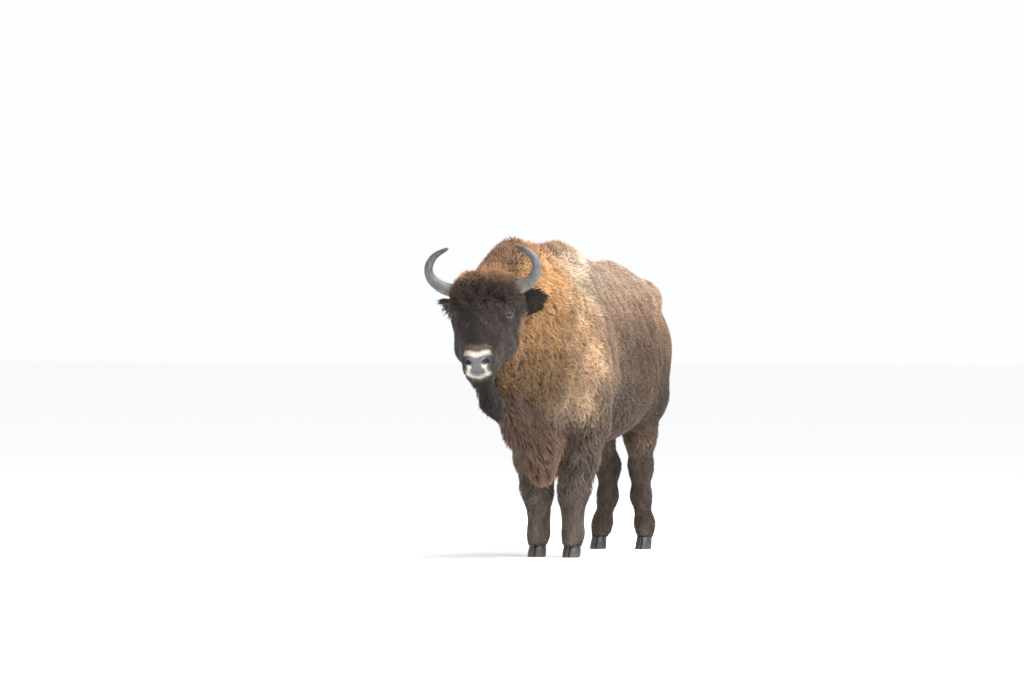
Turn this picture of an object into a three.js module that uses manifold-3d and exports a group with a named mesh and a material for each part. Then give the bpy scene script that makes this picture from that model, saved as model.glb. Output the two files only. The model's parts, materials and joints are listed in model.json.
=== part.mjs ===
// A European bison, or wisent, as a life-size standing model with its head turned to its left.
//
// Frame: millimetres, +Z up. The animal faces -Y and its left side is +X. The hooves stand on z = 0 and the
// origin is the middle of the underside of the model's box. Every size below is measured from the point on
// the floor midway between the fore hooves, with y growing towards the tail.
//
// The body is one smooth field: lofts for the trunk and head, chains of bones for the legs, all blended
// together. Its surface is the outside of the coat. The field is meshed piece by piece and parted by planes,
// and horns, eyes, ears, tail and hooves are swept solids let into it.

import * as THREE from 'three';
import Module from 'manifold-3d';
import { SimplifyModifier } from 'three/addons/modifiers/SimplifyModifier.js';
import { mergeVertices } from 'three/addons/utils/BufferGeometryUtils.js';

const wasm = await Module();
wasm.setup();

// ---------------------------------------------------------------------------------------------------------
// Sizes

const GAP = 0.3; // clearance between two pieces that meet
const FAR = 4000; // longer than the animal, for the blocks that trim it

// Trunk and neck. Each row is a section across the body: how far back it stands (at), how far its middle
// leans to the left, its top, its widest height and its bottom, its half width, and how full it is above
// and below the widest height, where 2 is an ellipse and less is narrower towards the ridge.
const TRUNK = [
  { at: -950, middle: -66, top: 1560, wide: 1290, bottom: 1020, half: 162, upper: 1.9, lower: 2.0 },
  { at: -800, middle: -66, top: 1660, wide: 1250, bottom: 930, half: 205, upper: 1.55, lower: 2.0 },
  { at: -640, middle: -60, top: 1718, wide: 1210, bottom: 850, half: 238, upper: 1.4, lower: 2.0 },
  { at: -450, middle: -47, top: 1702, wide: 1150, bottom: 740, half: 268, upper: 1.35, lower: 2.1 },
  { at: -250, middle: -26, top: 1684, wide: 1090, bottom: 665, half: 300, upper: 1.4, lower: 2.2 },
  { at: -50, middle: -5, top: 1698, wide: 1040, bottom: 625, half: 322, upper: 1.4, lower: 2.2 },
  { at: 120, middle: 0, top: 1700, wide: 1010, bottom: 602, half: 330, upper: 1.35, lower: 2.2 },
  { at: 350, middle: 0, top: 1650, wide: 990, bottom: 588, half: 344, upper: 1.4, lower: 2.1 },
  { at: 600, middle: 0, top: 1594, wide: 985, bottom: 588, half: 360, upper: 1.6, lower: 2.1 },
  { at: 800, middle: 0, top: 1582, wide: 1000, bottom: 612, half: 358, upper: 1.75, lower: 2.1 },
  { at: 950, middle: 0, top: 1596, wide: 1040, bottom: 665, half: 328, upper: 1.7, lower: 2.1 },
  { at: 1110, middle: 0, top: 1572, wide: 1090, bottom: 745, half: 290, upper: 1.75, lower: 2.0 },
  { at: 1270, middle: 0, top: 1510, wide: 1150, bottom: 835, half: 242, upper: 2.0, lower: 2.0 },
  { at: 1400, middle: 0, top: 1425, wide: 1180, bottom: 930, half: 192, upper: 2.0, lower: 2.0 },
];
const NECK_END = 50; // how far the neck rounds off inside the head
const RUMP_END = 105; // how far the rump rounds off behind its last section

// Muscle and bone that stand out of the trunk: middle (left side) and half sizes.
const SHOULDER = { middle: [195, -60, 1040], half: [140, 230, 330] };
const HIP = { middle: [208, 1045, 1380], half: [80, 110, 90] };
const THIGH = { middle: [145, 1180, 1030], half: [130, 250, 310] };
const BODY_BLEND = 110;

// Head, in a frame of its own that is turned, rolled and pitched about the point midway between the eyes:
// side to its left, along the face from the eyes to the nose, up out of the forehead.
const EYE_POINT = new THREE.Vector3(-84, -1062, 1285);
const HEAD_YAW = THREE.MathUtils.degToRad(6.5);
const HEAD_ROLL = THREE.MathUtils.degToRad(2.5);
const FACE_PITCH = THREE.MathUtils.degToRad(48);
const HEAD = [
  { at: -205, middle: 14, top: 168, wide: 0, bottom: -150, half: 178, upper: 3.8, lower: 2.2 },
  { at: -130, middle: 10, top: 154, wide: -10, bottom: -195, half: 197, upper: 3.8, lower: 2.5 },
  { at: -50, middle: 4, top: 106, wide: -50, bottom: -215, half: 182, upper: 2.8, lower: 2.8 },
  { at: 20, middle: 0, top: 60, wide: -80, bottom: -222, half: 158, upper: 2.2, lower: 2.8 },
  { at: 100, middle: 0, top: 48, wide: -100, bottom: -214, half: 134, upper: 2.1, lower: 2.8 },
  { at: 180, middle: 0, top: 42, wide: -100, bottom: -200, half: 110, upper: 2.2, lower: 2.8 },
  { at: 240, middle: 0, top: 34, wide: -80, bottom: -186, half: 91, upper: 2.3, lower: 2.5 },
  { at: 285, middle: 0, top: 14, wide: -60, bottom: -170, half: 83, upper: 2.4, lower: 2.3 },
];
const ORBIT = { middle: [122, -30, 12], half: [42, 46, 38] }; // the brow behind and above each eye
const CHEEK = { middle: [96, 35, -140], half: [70, 130, 75] };
const POLL_END = 45;
const NOSE_END = 42;
const HEAD_BLEND = 55;
const FACE_BLEND = 30;

// Long hair that hangs below the outline: chains of (side, along or back, up) with half width and half depth.
// The beard is in the head's level frame: left, forward, up.
const BEARD = [
  { at: [0, 40, -318], half: 62, deep: 92 },
  { at: [30, -6, -430], half: 54, deep: 86 },
  { at: [66, -26, -525], half: 24, deep: 36 },
];
const APRON = [
  { at: [-66, -920, 985], half: 70, deep: 85 },
  { at: [-54, -790, 900], half: 92, deep: 120 },
  { at: [-22, -540, 690], half: 96, deep: 130 },
  { at: [6, -390, 620], half: 92, deep: 150 },
  { at: [24, -370, 520], half: 84, deep: 110 },
  { at: [30, -335, 445], half: 40, deep: 60 },
  { at: [12, -250, 500], half: 60, deep: 100 },
  { at: [0, -190, 620], half: 110, deep: 150 },
];
const HAIR_BLEND = 70;

// Legs. Heights, half widths and half depths down each leg; the lower joints follow where the foot stands.
const FORELEG = [
  { name: 'shoulder', side: 92, back: -95, up: 1000, half: 125, deep: 190 },
  { name: 'elbow', side: 62, back: 55, up: 730, half: 122, deep: 150 },
  { name: 'forearm', side: 28, back: 25, up: 540, half: 105, deep: 116 },
  { name: 'fringe', side: 12, back: 8, up: 405, half: 82, deep: 88 },
  { name: 'knee', side: 0, back: -2, up: 315, half: 66, deep: 68 },
  { name: 'cannon', side: -2, back: 8, up: 215, half: 47, deep: 50 },
  { name: 'fetlock', side: 0, back: 6, up: 128, half: 49, deep: 56 },
  { name: 'coronet', side: 0, back: -16, up: 78, half: 48, deep: 60 },
];
const HINDLEG = [
  { name: 'hip', side: 20, back: -110, up: 1120, half: 140, deep: 225 },
  { name: 'stifle', side: 52, back: -175, up: 850, half: 118, deep: 165 },
  { name: 'gaskin', side: -8, back: -60, up: 640, half: 82, deep: 128 },
  { name: 'hock', side: -36, back: 48, up: 455, half: 57, deep: 80 },
  { name: 'cannon', side: -34, back: 44, up: 290, half: 48, deep: 54 },
  { name: 'fetlock', side: -8, back: 26, up: 140, half: 45, deep: 54 },
  { name: 'coronet', side: 0, back: 4, up: 78, half: 43, deep: 57 },
];
const LEG_BLEND = 60;
const LEGS = [
  { name: 'foreleg_left', chain: FORELEG, sign: 1, foot: [100, 0], claw: 47 },
  { name: 'foreleg_right', chain: FORELEG, sign: -1, foot: [-100, 20], claw: 47 },
  { name: 'hindleg_left', chain: HINDLEG, sign: 1, foot: [144, 1240], claw: 42 },
  { name: 'hindleg_right', chain: HINDLEG, sign: -1, foot: [-108, 1215], claw: 42 },
];

// Hooves: two claws side by side, and two dewclaws behind the fetlock.
const CLAW_HEIGHT = 68;
const CLAW_SIDES = 10;
const CLAW_LENGTH = 112;
const CLAW_PARTING = 6; // between the two claws at the sole
const CLAW_SET = 12; // how far the claws stand ahead of the foot's middle
const CLAW_LEAN = 26; // how far the toe stands ahead of the coronet
const CLAW_LEVELS = [ // height, and how much of the length and width is left there
  { up: 0, length: 1, width: 0.94 },
  { up: 14, length: 0.97, width: 0.98 },
  { up: CLAW_HEIGHT - GAP, length: 0.86, width: 0.9 },
];
const CLAW_INNER = 0.12; // how much of a claw's outline bulges towards its neighbour
const DEWCLAW = { side: 20, up: 117, splay: 5, reach: 40, fall: 34, half: [14, 14, 8] };

// Horns, in the head's level frame: a C that leaves the side of the head, turns up and comes back in.
const HORN_PATH = [
  [105, -92, 156],
  [186, -84, 165],
  [246, -68, 194],
  [284, -46, 241],
  [287, -32, 293],
  [252, -29, 347],
  [178, -37, 386],
];
const HORN_SET = 10; // both horns sit this much towards the left
const HORN_RADII = [37, 36, 32, 27, 22, 16, 8]; // from the root to the tip

// Ears, eyes and tail.
const EAR_LEFT = { root: [132, -182, 82], tip: [346, -158, 120], broad: [0.05, 0.15, 1] };
const EAR_RIGHT = { root: [-126, -168, 78], tip: [-268, -262, 98], broad: [-0.45, 0.6, 0.8] };
const EAR_HALF_WIDTHS = [46, 86, 86, 24]; // from the root to the tip
const EAR_HALF_DEPTHS = [26, 24, 20, 9];
const EYE = { side: 140, forward: 3, up: 20, radius: 22 };
const EYE_HOLLOW = { middle: [176, 36, 21], half: [28, 32, 24] }; // in the level frame, opening round the eye
const HOLLOW_BLEND = 18;
const TAIL_PATH = [
  [0, 1370, 1388],
  [0, 1458, 1366],
  [0, 1512, 1270],
  [4, 1524, 1060],
  [12, 1506, 860],
  [16, 1496, 760],
];
const TAIL_HALF_WIDTHS = [42, 40, 34, 27, 24, 26];
const TUFT_PATH = [
  [16, 1496, 759],
  [18, 1490, 690],
  [20, 1484, 600],
  [20, 1480, 520],
  [20, 1478, 440],
];
const TUFT_HALF_WIDTHS = [27, 44, 50, 38, 7];

// ---------------------------------------------------------------------------------------------------------
// Colours

const COAT = {
  dark: { color: 0x3a2c23, roughness: 0.95 },
  brown: { color: 0x5b4330, roughness: 0.95 },
  golden: { color: 0x8a6238, roughness: 0.95 },
  horn: { color: 0x4c4742, roughness: 0.45 },
  hoof: { color: 0x2b2623, roughness: 0.5 },
  eye: { color: 0x120c09, roughness: 0.08 },
};
const materials = Object.fromEntries(
  Object.entries(COAT).map(([name, look]) => [
    name,
    new THREE.MeshStandardMaterial({ name, metalness: 0, ...look }),
  ]),
);

// ---------------------------------------------------------------------------------------------------------
// Fields: each returns how far a point lies outside a form, less than zero inside it

/** The nearer of two forms, rounded together over `blend` where they come close. */
function join(a, b, blend) {
  const near = Math.max(blend - Math.abs(a - b), 0) / blend;
  return Math.min(a, b) - (near * near * blend) / 4;
}

/** Distance along the ray from a form's middle, for an offset and how many times its size that offset is. */
function rayDistance(reach, times) {
  return (reach + 1) * (1 - 1 / Math.max(times, 0.01));
}

/** A smooth curve through one column of a table: cubic pieces whose slopes average their neighbours'. */
function profile(rows, key) {
  const at = rows.map((row) => row.at);
  const value = rows.map((row) => row[key]);
  const slope = at.map((_, i) => {
    const before = Math.max(i - 1, 0);
    const after = Math.min(i + 1, at.length - 1);
    return (value[after] - value[before]) / (at[after] - at[before]);
  });
  return (where) => {
    const place = THREE.MathUtils.clamp(where, at[0], at.at(-1));
    const i = Math.min(at.findLastIndex((start) => start <= place), at.length - 2);
    const width = at[i + 1] - at[i];
    const u = (place - at[i]) / width;
    const ease = u * u * (3 - 2 * u);
    const leave = u * (1 - u) * (1 - u) * width * slope[i];
    const arrive = u * u * (u - 1) * width * slope[i + 1];
    return value[i] + (value[i + 1] - value[i]) * ease + leave + arrive;
  };
}

/** A loft: across each section |side/half|^fullness + (up/height)^2 = 1, and a rounded cap past each end. */
function loft(rows, firstCap, lastCap) {
  const of = Object.fromEntries(Object.keys(rows[0]).map((key) => [key, profile(rows, key)]));
  const first = rows[0].at;
  const last = rows.at(-1).at;
  return (side, along, up) => {
    const dx = side - of.middle(along);
    const dz = up - of.wide(along);
    const height = dz > 0 ? of.top(along) - of.wide(along) : of.wide(along) - of.bottom(along);
    const fullness = dz > 0 ? of.upper(along) : of.lower(along);
    const over = Math.max(along - last, first - along, 0);
    const cap = along > last ? lastCap : firstCap;
    const sum = (Math.abs(dx) / of.half(along)) ** fullness + (dz / height) ** 2 + (over / cap) ** 2;
    return rayDistance(Math.hypot(dx, dz, over), sum ** (2 / (fullness + 2)));
  };
}

/** An ellipsoid. */
function lump({ middle, half }, sign = 1) {
  return (x, y, z) => {
    const d = [x - sign * middle[0], y - middle[1], z - middle[2]];
    return rayDistance(Math.hypot(...d), Math.hypot(...d.map((v, i) => v / half[i])));
  };
}

/** A chain of bones, each fading from the girth at one joint to the girth at the next. */
function chain(joints, blend) {
  return (x, y, z) => {
    let distance = Infinity;
    for (let i = 0; i + 1 < joints.length; i += 1) {
      const from = joints[i];
      const to = joints[i + 1];
      const bone = to.at.map((v, k) => v - from.at[k]);
      const offset = [x - from.at[0], y - from.at[1], z - from.at[2]];
      const length2 = bone[0] ** 2 + bone[1] ** 2 + bone[2] ** 2;
      const dot = offset[0] * bone[0] + offset[1] * bone[1] + offset[2] * bone[2];
      const t = THREE.MathUtils.clamp(dot / length2, 0, 1);
      const [dx, dy, dz] = offset.map((v, k) => v - t * bone[k]);
      const half = from.half + t * (to.half - from.half);
      const deep = from.deep + t * (to.deep - from.deep);
      const times = Math.hypot(dx / half, dy / deep, (2 * dz) / (half + deep));
      distance = join(distance, rayDistance(Math.hypot(dx, dy, dz), times), blend);
    }
    return distance;
  };
}

// The head's level frame turns and rolls with the head; its face frame is pitched as well.
const forward = new THREE.Vector3(Math.sin(HEAD_YAW), -Math.cos(HEAD_YAW), 0);
const leftward = new THREE.Vector3(0, 0, 1).cross(forward).applyAxisAngle(forward, HEAD_ROLL);
const upward = forward.clone().cross(leftward);
const alongFace = forward.clone().applyAxisAngle(leftward, FACE_PITCH);
const outOfFace = alongFace.clone().cross(leftward);

/** A point or direction of the head's level frame (left, forward, up) in the model's frame. */
function fromHead([left, ahead, up], origin = EYE_POINT) {
  return origin.clone()
    .addScaledVector(leftward, left)
    .addScaledVector(forward, ahead)
    .addScaledVector(upward, up);
}

/** A point of the model's frame as (side, along, up) on the given axes about the eye point. */
function toHead(x, y, z, ahead, up) {
  const p = new THREE.Vector3(x, y, z).sub(EYE_POINT);
  return [p.dot(leftward), p.dot(ahead), p.dot(up)];
}

/** The joints of one leg, from how far each stands to the side of and behind the foot. */
function legJoints({ chain: rows, sign, foot }) {
  return rows.map(({ side, back, up, half, deep }) => {
    const at = [foot[0] + sign * side, foot[1] + back, up];
    return { at, half, deep };
  });
}

const trunkField = loft(TRUNK, NECK_END, RUMP_END);
const headField = loft(HEAD, POLL_END, NOSE_END);
const beardField = chain(BEARD, HAIR_BLEND);
const apronField = chain(APRON, HAIR_BLEND);
const legFields = LEGS.map((leg) => chain(legJoints(leg), LEG_BLEND));
const bothSides = (form) => [lump(form, 1), lump(form, -1)];
const lumpFields = [SHOULDER, HIP, THIGH].flatMap(bothSides);
const faceLumpFields = [ORBIT, CHEEK].flatMap(bothSides);
const hollowFields = bothSides(EYE_HOLLOW);

/** The whole animal without horns, ears, eyes, tail and hooves. */
function body(x, y, z) {
  let distance = trunkField(x, y, z);
  for (const field of lumpFields) {
    distance = join(distance, field(x, y, z), BODY_BLEND);
  }
  distance = join(distance, apronField(x, y, z), HAIR_BLEND);
  for (const field of legFields) {
    distance = join(distance, field(x, y, z), LEG_BLEND);
  }
  const onFace = toHead(x, y, z, alongFace, outOfFace);
  let face = headField(...onFace);
  for (const field of faceLumpFields) {
    face = join(face, field(...onFace), FACE_BLEND);
  }
  const level = toHead(x, y, z, forward, upward);
  face = join(face, beardField(...level), HAIR_BLEND);
  for (const hollow of hollowFields) {
    face = -join(-face, hollow(...level), HOLLOW_BLEND);
  }
  return join(distance, face, HEAD_BLEND);
}

// ---------------------------------------------------------------------------------------------------------
// Meshing

/** The slope of a field at a point, by central differences. */
function slopeOf(field, [x, y, z], step = 1) {
  return [
    (field(x + step, y, z) - field(x - step, y, z)) / (2 * step),
    (field(x, y + step, z) - field(x, y - step, z)) / (2 * step),
    (field(x, y, z + step) - field(x, y, z - step)) / (2 * step),
  ];
}

/** Moves a point onto the surface of a field, a few straight steps down its slope. */
function settle(field, point, reach) {
  let place = point;
  for (let step = 0; step < 3; step += 1) {
    const slope = slopeOf(field, place);
    const steep = slope[0] ** 2 + slope[1] ** 2 + slope[2] ** 2;
    const move = THREE.MathUtils.clamp(field(...place) / Math.max(steep, 0.05), -reach, reach);
    place = place.map((v, i) => v - move * slope[i]);
  }
  return place;
}

/**
 * Surface nets. The box is divided into cells; each cell that the surface crosses gets one corner, settled on
 * the surface, and each grid edge that it crosses gets a square between the four cells round it. The field is
 * closed off at the walls of the box.
 */
function meshField(field, low, high, cell) {
  const closed = (x, y, z) => {
    const p = [x, y, z];
    const walls = p.map((v, i) => Math.max(low[i] - v, v - high[i]));
    return Math.max(field(x, y, z), ...walls);
  };
  const count = low.map((v, i) => Math.ceil((high[i] - v) / cell) + 3);
  const start = low.map((v) => v - cell * 1.25);
  const index = (i, j, k) => (i * count[1] + j) * count[2] + k;
  const place = (i, j, k) => [i, j, k].map((n, axis) => start[axis] + n * cell);
  const value = new Float64Array(count[0] * count[1] * count[2]);
  for (let i = 0; i < count[0]; i += 1) {
    for (let j = 0; j < count[1]; j += 1) {
      for (let k = 0; k < count[2]; k += 1) {
        value[index(i, j, k)] = closed(...place(i, j, k));
      }
    }
  }
  const corners = [];
  const cornerOf = new Map();
  const reach = cell / 2;
  for (let i = 0; i + 1 < count[0]; i += 1) {
    for (let j = 0; j + 1 < count[1]; j += 1) {
      for (let k = 0; k + 1 < count[2]; k += 1) {
        const crossings = cellCrossings(i, j, k, value, index, place);
        if (crossings.length === 0) {
          continue;
        }
        const total = crossings.reduce((sum, c) => sum.map((v, axis) => v + c[axis]));
        const middle = total.map((v) => v / crossings.length);
        cornerOf.set(index(i, j, k), corners.length / 3);
        corners.push(...settle(closed, middle, reach));
      }
    }
  }
  const faces = [];
  const steps = [[1, 0, 0], [0, 1, 0], [0, 0, 1]];
  for (let i = 1; i + 1 < count[0]; i += 1) {
    for (let j = 1; j + 1 < count[1]; j += 1) {
      for (let k = 1; k + 1 < count[2]; k += 1) {
        const here = value[index(i, j, k)] < 0;
        steps.forEach((step, axis) => {
          const there = value[index(i + step[0], j + step[1], k + step[2])] < 0;
          if (here === there) {
            return;
          }
          const u = steps[(axis + 1) % 3];
          const v = steps[(axis + 2) % 3];
          const around = [[0, 0], [1, 0], [1, 1], [0, 1]].map(([a, b]) =>
            cornerOf.get(index(i - a * u[0] - b * v[0], j - a * u[1] - b * v[1], k - a * u[2] - b * v[2])));
          const [p, q, r, s] = here ? around : around.reverse();
          faces.push(p, q, r, p, r, s);
        });
      }
    }
  }
  const geometry = new THREE.BufferGeometry();
  geometry.setAttribute('position', new THREE.Float32BufferAttribute(corners, 3));
  geometry.setIndex(faces);
  return geometry;
}

/** Where the surface crosses the twelve edges of one cell. */
function cellCrossings(i, j, k, value, index, place) {
  const crossings = [];
  const corner = [0, 1, 2, 3, 4, 5, 6, 7].map((c) => [i + (c & 1), j + ((c >> 1) & 1), k + ((c >> 2) & 1)]);
  for (let c = 0; c < 8; c += 1) {
    for (const bit of [1, 2, 4]) {
      if (c & bit) {
        continue;
      }
      const a = value[index(...corner[c])];
      const b = value[index(...corner[c | bit])];
      if (a < 0 !== b < 0) {
        const from = place(...corner[c]);
        const to = place(...corner[c | bit]);
        crossings.push(from.map((v, axis) => v + (to[axis] - v) * (a / (a - b))));
      }
    }
  }
  return crossings;
}

/** A closed mesh of rings joined in order, with a flat fan at each end. */
function closeRings(rings) {
  const sides = rings[0].length;
  const positions = rings.flat().flatMap((p) => [p.x, p.y, p.z]);
  const faces = [];
  for (let i = 0; i + 1 < rings.length; i += 1) {
    for (let j = 0; j < sides; j += 1) {
      const next = (j + 1) % sides;
      const [a, b, c, d] = [i * sides + j, i * sides + next, (i + 1) * sides + next, (i + 1) * sides + j];
      faces.push(a, b, c, a, c, d);
    }
  }
  [0, rings.length - 1].forEach((i, end) => {
    const hub = rings[i].reduce((sum, p) => sum.add(p), new THREE.Vector3()).divideScalar(sides);
    const centre = positions.length / 3;
    positions.push(hub.x, hub.y, hub.z);
    for (let j = 0; j < sides; j += 1) {
      const [a, b] = [i * sides + j, i * sides + ((j + 1) % sides)];
      faces.push(...(end === 0 ? [centre, b, a] : [centre, a, b]));
    }
  });
  const geometry = new THREE.BufferGeometry();
  geometry.setAttribute('position', new THREE.Float32BufferAttribute(positions, 3));
  geometry.setIndex(faces);
  return facingOut(geometry);
}

/** Turns a closed mesh's faces outwards if they point in. */
function facingOut(geometry) {
  const p = geometry.attributes.position;
  const corner = (i) => new THREE.Vector3().fromBufferAttribute(p, i);
  const { array } = geometry.index;
  let volume = 0;
  for (let i = 0; i < array.length; i += 3) {
    volume += corner(array[i]).dot(corner(array[i + 1]).cross(corner(array[i + 2])));
  }
  if (volume < 0) {
    geometry.setIndex([...array].reverse());
  }
  return geometry;
}

/**
 * An oval section carried along a smooth path. `half` and `thick` give its half sizes at each station, the
 * broad one lying as near as can be to `broad`, and `grow` makes it that much larger all round.
 */
function sweep({ path, half, thick = half, broad = new THREE.Vector3(1, 0, 0), rings, sides, grow = 0 }) {
  const curve = new THREE.CatmullRomCurve3(path, false, 'centripetal');
  const sizeAt = (sizes, t) => {
    const rows = sizes.map((size, i) => ({ at: i / (sizes.length - 1), size }));
    return Math.max(profile(rows, 'size')(t), 1) + grow;
  };
  const outlines = [];
  for (let i = 0; i <= rings; i += 1) {
    const t = i / rings;
    const tangent = curve.getTangent(t);
    const across = broad.clone().addScaledVector(tangent, -broad.dot(tangent)).normalize();
    const other = tangent.clone().cross(across);
    const overshoot = i === 0 ? -grow : i === rings ? grow : 0;
    const hub = curve.getPoint(t).addScaledVector(tangent, overshoot);
    const outline = [];
    for (let j = 0; j < sides; j += 1) {
      const angle = (2 * Math.PI * j) / sides;
      outline.push(hub.clone()
        .addScaledVector(across, Math.cos(angle) * sizeAt(half, t))
        .addScaledVector(other, Math.sin(angle) * sizeAt(thick, t)));
    }
    outlines.push(outline);
  }
  return closeRings(outlines);
}

// ---------------------------------------------------------------------------------------------------------
// Cutting

/** A closed geometry as a solid that can be joined and cut. */
function toSolid(geometry) {
  const bare = new THREE.BufferGeometry();
  bare.setAttribute('position', geometry.attributes.position);
  bare.setIndex(geometry.index);
  const merged = mergeVertices(bare, 1e-4);
  const mesh = new wasm.Mesh({
    numProp: 3,
    vertProperties: new Float32Array(merged.attributes.position.array),
    triVerts: new Uint32Array(merged.index.array),
  });
  return new wasm.Manifold(mesh);
}

/** A solid back as a geometry. */
function toGeometry(solid) {
  const mesh = solid.getMesh();
  const geometry = new THREE.BufferGeometry();
  geometry.setAttribute('position', new THREE.Float32BufferAttribute(mesh.vertProperties, 3));
  geometry.setIndex([...mesh.triVerts]);
  geometry.computeVertexNormals();
  return geometry;
}

/** A plane through `at`, facing `out`. */
function plane(at, out) {
  return { at: new THREE.Vector3(...at), out: new THREE.Vector3(...out).normalize() };
}

/** The same plane facing the other way. */
function behind({ at, out }) {
  return { at, out: out.clone().negate() };
}

/** A great block standing on the front of a plane, `grow` nearer to it than the plane itself. */
function blockBefore({ at, out }, grow) {
  const block = new THREE.BoxGeometry(2 * FAR, 2 * FAR, FAR);
  block.translate(0, 0, FAR / 2 - grow);
  block.applyQuaternion(new THREE.Quaternion().setFromUnitVectors(new THREE.Vector3(0, 0, 1), out));
  block.translate(at.x, at.y, at.z);
  return toSolid(block);
}

/** The space before all the given planes. */
function territory(planes, grow = 0) {
  return planes.map((p) => blockBefore(p, grow)).reduce((space, block) => space.intersect(block));
}

// ---------------------------------------------------------------------------------------------------------
// Where the body is parted

const headPlane = plane(fromHead([0, -128, 0]).toArray(), forward.toArray());
const muzzlePlane = plane(EYE_POINT.clone().addScaledVector(alongFace, 222).toArray(), alongFace.toArray());
const jawOut = fromHead([0, 0.35, -1], new THREE.Vector3());
const jawPlane = plane(fromHead([0, 40, -322]).toArray(), jawOut.toArray());
const beardBack = plane(fromHead([0, -112, 0]).toArray(), forward.toArray());
const forelockOut = outOfFace.clone().addScaledVector(alongFace, -0.22);
const forelockPlane = plane(
  EYE_POINT.clone().addScaledVector(alongFace, 15).addScaledVector(outOfFace, 62).toArray(),
  forelockOut.toArray(),
);
const neckPlane = plane([0, -285, 1100], [0, -0.936, 0.351]);
const apronPlane = plane([0, -500, 790], [0, -0.5, -0.866]);
const apronBack = plane([0, -205, 600], [0, -1, 0]);
const ribPlane = plane([0, 380, 0], [0, 1, 0]);
const loinPlane = plane([0, 950, 0], [0, 1, 0]);
const elbowPlane = plane([0, 285, 0], [0, -1, 0]);
const flankPlane = plane([0, 925, 900], [0, 0.95, -0.31]);

// The slopes that part the legs from the trunk: a point on each and how steeply it rises outwards.
const ARMPIT = { side: 60, up: 600, steep: 0.8 };
const GROIN = { side: 50, up: 720, steep: 0.58 };

/** The planes that part one leg from the trunk: the midline, a slope that rises outwards, and its two ends. */
function legPlanes({ chain: rows, sign }) {
  const midline = plane([0, 0, 0], [sign, 0, 0]);
  if (rows === FORELEG) {
    const armpit = plane([sign * ARMPIT.side, 0, ARMPIT.up], [sign, 0, -ARMPIT.steep]);
    return [midline, armpit, elbowPlane, behind(apronBack)];
  }
  const groin = plane([sign * GROIN.side, 0, GROIN.up], [sign, 0, -GROIN.steep]);
  return [midline, groin, flankPlane];
}

const LEG_CUTS = { foreleg: [345, 158], hindleg: [445, 168] }; // heights of knee or hock, and fetlock

/** The pieces of one leg, from the body down to the coronet. */
function legPieces(leg) {
  const [joint, fetlock] = LEG_CUTS[leg.name.split('_')[0]];
  const level = (z, up) => plane([0, 0, z], [0, 0, up]);
  const reachX = leg.sign > 0 ? [-20, 420] : [-420, 20];
  const reachY = leg.chain === FORELEG ? [-260, 340] : [860, 1620];
  const shared = legPlanes(leg);
  const piece = (part, cell, keep, planes, reachZ) => ({
    name: `${leg.name}_${part}`,
    cell,
    keep,
    planes: [...shared, ...planes],
    low: [reachX[0], reachY[0], reachZ[0]],
    high: [reachX[1], reachY[1], reachZ[1]],
    look: 'dark',
  });
  return [
    piece('upper', 34, 190, [level(joint, 1)], [joint - 60, 1300]),
    piece('cannon', 22, 95, [level(joint, -1), level(fetlock, 1)], [fetlock - 40, joint + 40]),
    piece('foot', 20, 78, [level(fetlock, -1), level(CLAW_HEIGHT, 1)], [20, fetlock + 30]),
  ];
}

const legTerritories = LEGS.map(legPlanes);
const apronTerritory = [apronPlane, apronBack, behind(beardBack)];

// Each piece of the body: the side of its meshing cells, how many corners it keeps, the planes it lies before,
// the spaces taken out of it, and the box it is meshed in.
const FLESH = [
  {
    name: 'muzzle',
    cell: 13,
    keep: 190,
    planes: [headPlane, muzzlePlane, behind(jawPlane)],
    low: [-260, -1360, 860],
    high: [160, -1040, 1240],
    look: 'dark',
  },
  {
    name: 'forelock',
    cell: 20,
    keep: 160,
    planes: [headPlane, forelockPlane],
    low: [-360, -1240, 1280],
    high: [160, -840, 1640],
    look: 'brown',
  },
  {
    name: 'beard',
    cell: 20,
    keep: 150,
    planes: [beardBack, jawPlane],
    low: [-300, -1300, 680],
    high: [160, -840, 1080],
    look: 'dark',
  },
  {
    name: 'head',
    cell: 17,
    keep: 540,
    planes: [headPlane, behind(muzzlePlane), behind(jawPlane), behind(forelockPlane)],
    low: [-360, -1300, 880],
    high: [160, -840, 1640],
    look: 'dark',
  },
  {
    name: 'apron',
    cell: 30,
    keep: 190,
    planes: apronTerritory,
    less: [[headPlane, behind(jawPlane)]],
    low: [-380, -1000, 360],
    high: [330, -160, 1120],
    look: 'brown',
  },
  {
    name: 'neck',
    cell: 36,
    keep: 370,
    planes: [neckPlane, behind(headPlane), behind(apronPlane)],
    low: [-420, -1060, 600],
    high: [330, 0, 1760],
    look: 'golden',
  },
  {
    name: 'forequarters',
    cell: 42,
    keep: 400,
    planes: [behind(neckPlane), behind(ribPlane)],
    less: [legTerritories[0], legTerritories[1], apronTerritory],
    low: [-420, -620, 520],
    high: [420, 450, 1760],
    look: 'golden',
  },
  {
    name: 'barrel',
    cell: 42,
    keep: 280,
    planes: [ribPlane, behind(loinPlane)],
    less: [legTerritories[2], legTerritories[3]],
    low: [-420, 310, 520],
    high: [420, 1020, 1760],
    look: 'brown',
  },
  {
    name: 'hindquarters',
    cell: 42,
    keep: 310,
    planes: [loinPlane],
    less: [legTerritories[2], legTerritories[3]],
    low: [-420, 880, 520],
    high: [420, 1620, 1720],
    look: 'brown',
  },
  ...LEGS.flatMap(legPieces),
];

// ---------------------------------------------------------------------------------------------------------
// Pieces let into the body

/** A horn: a tapering tube whose root is let into the side of the head. */
function horn(sign, grow) {
  const path = HORN_PATH.map(([left, ahead, up]) => fromHead([sign * left + HORN_SET, ahead, up]));
  return sweep({ path, half: HORN_RADII, broad: upward.clone(), rings: 13, sides: 8, grow });
}

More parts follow.
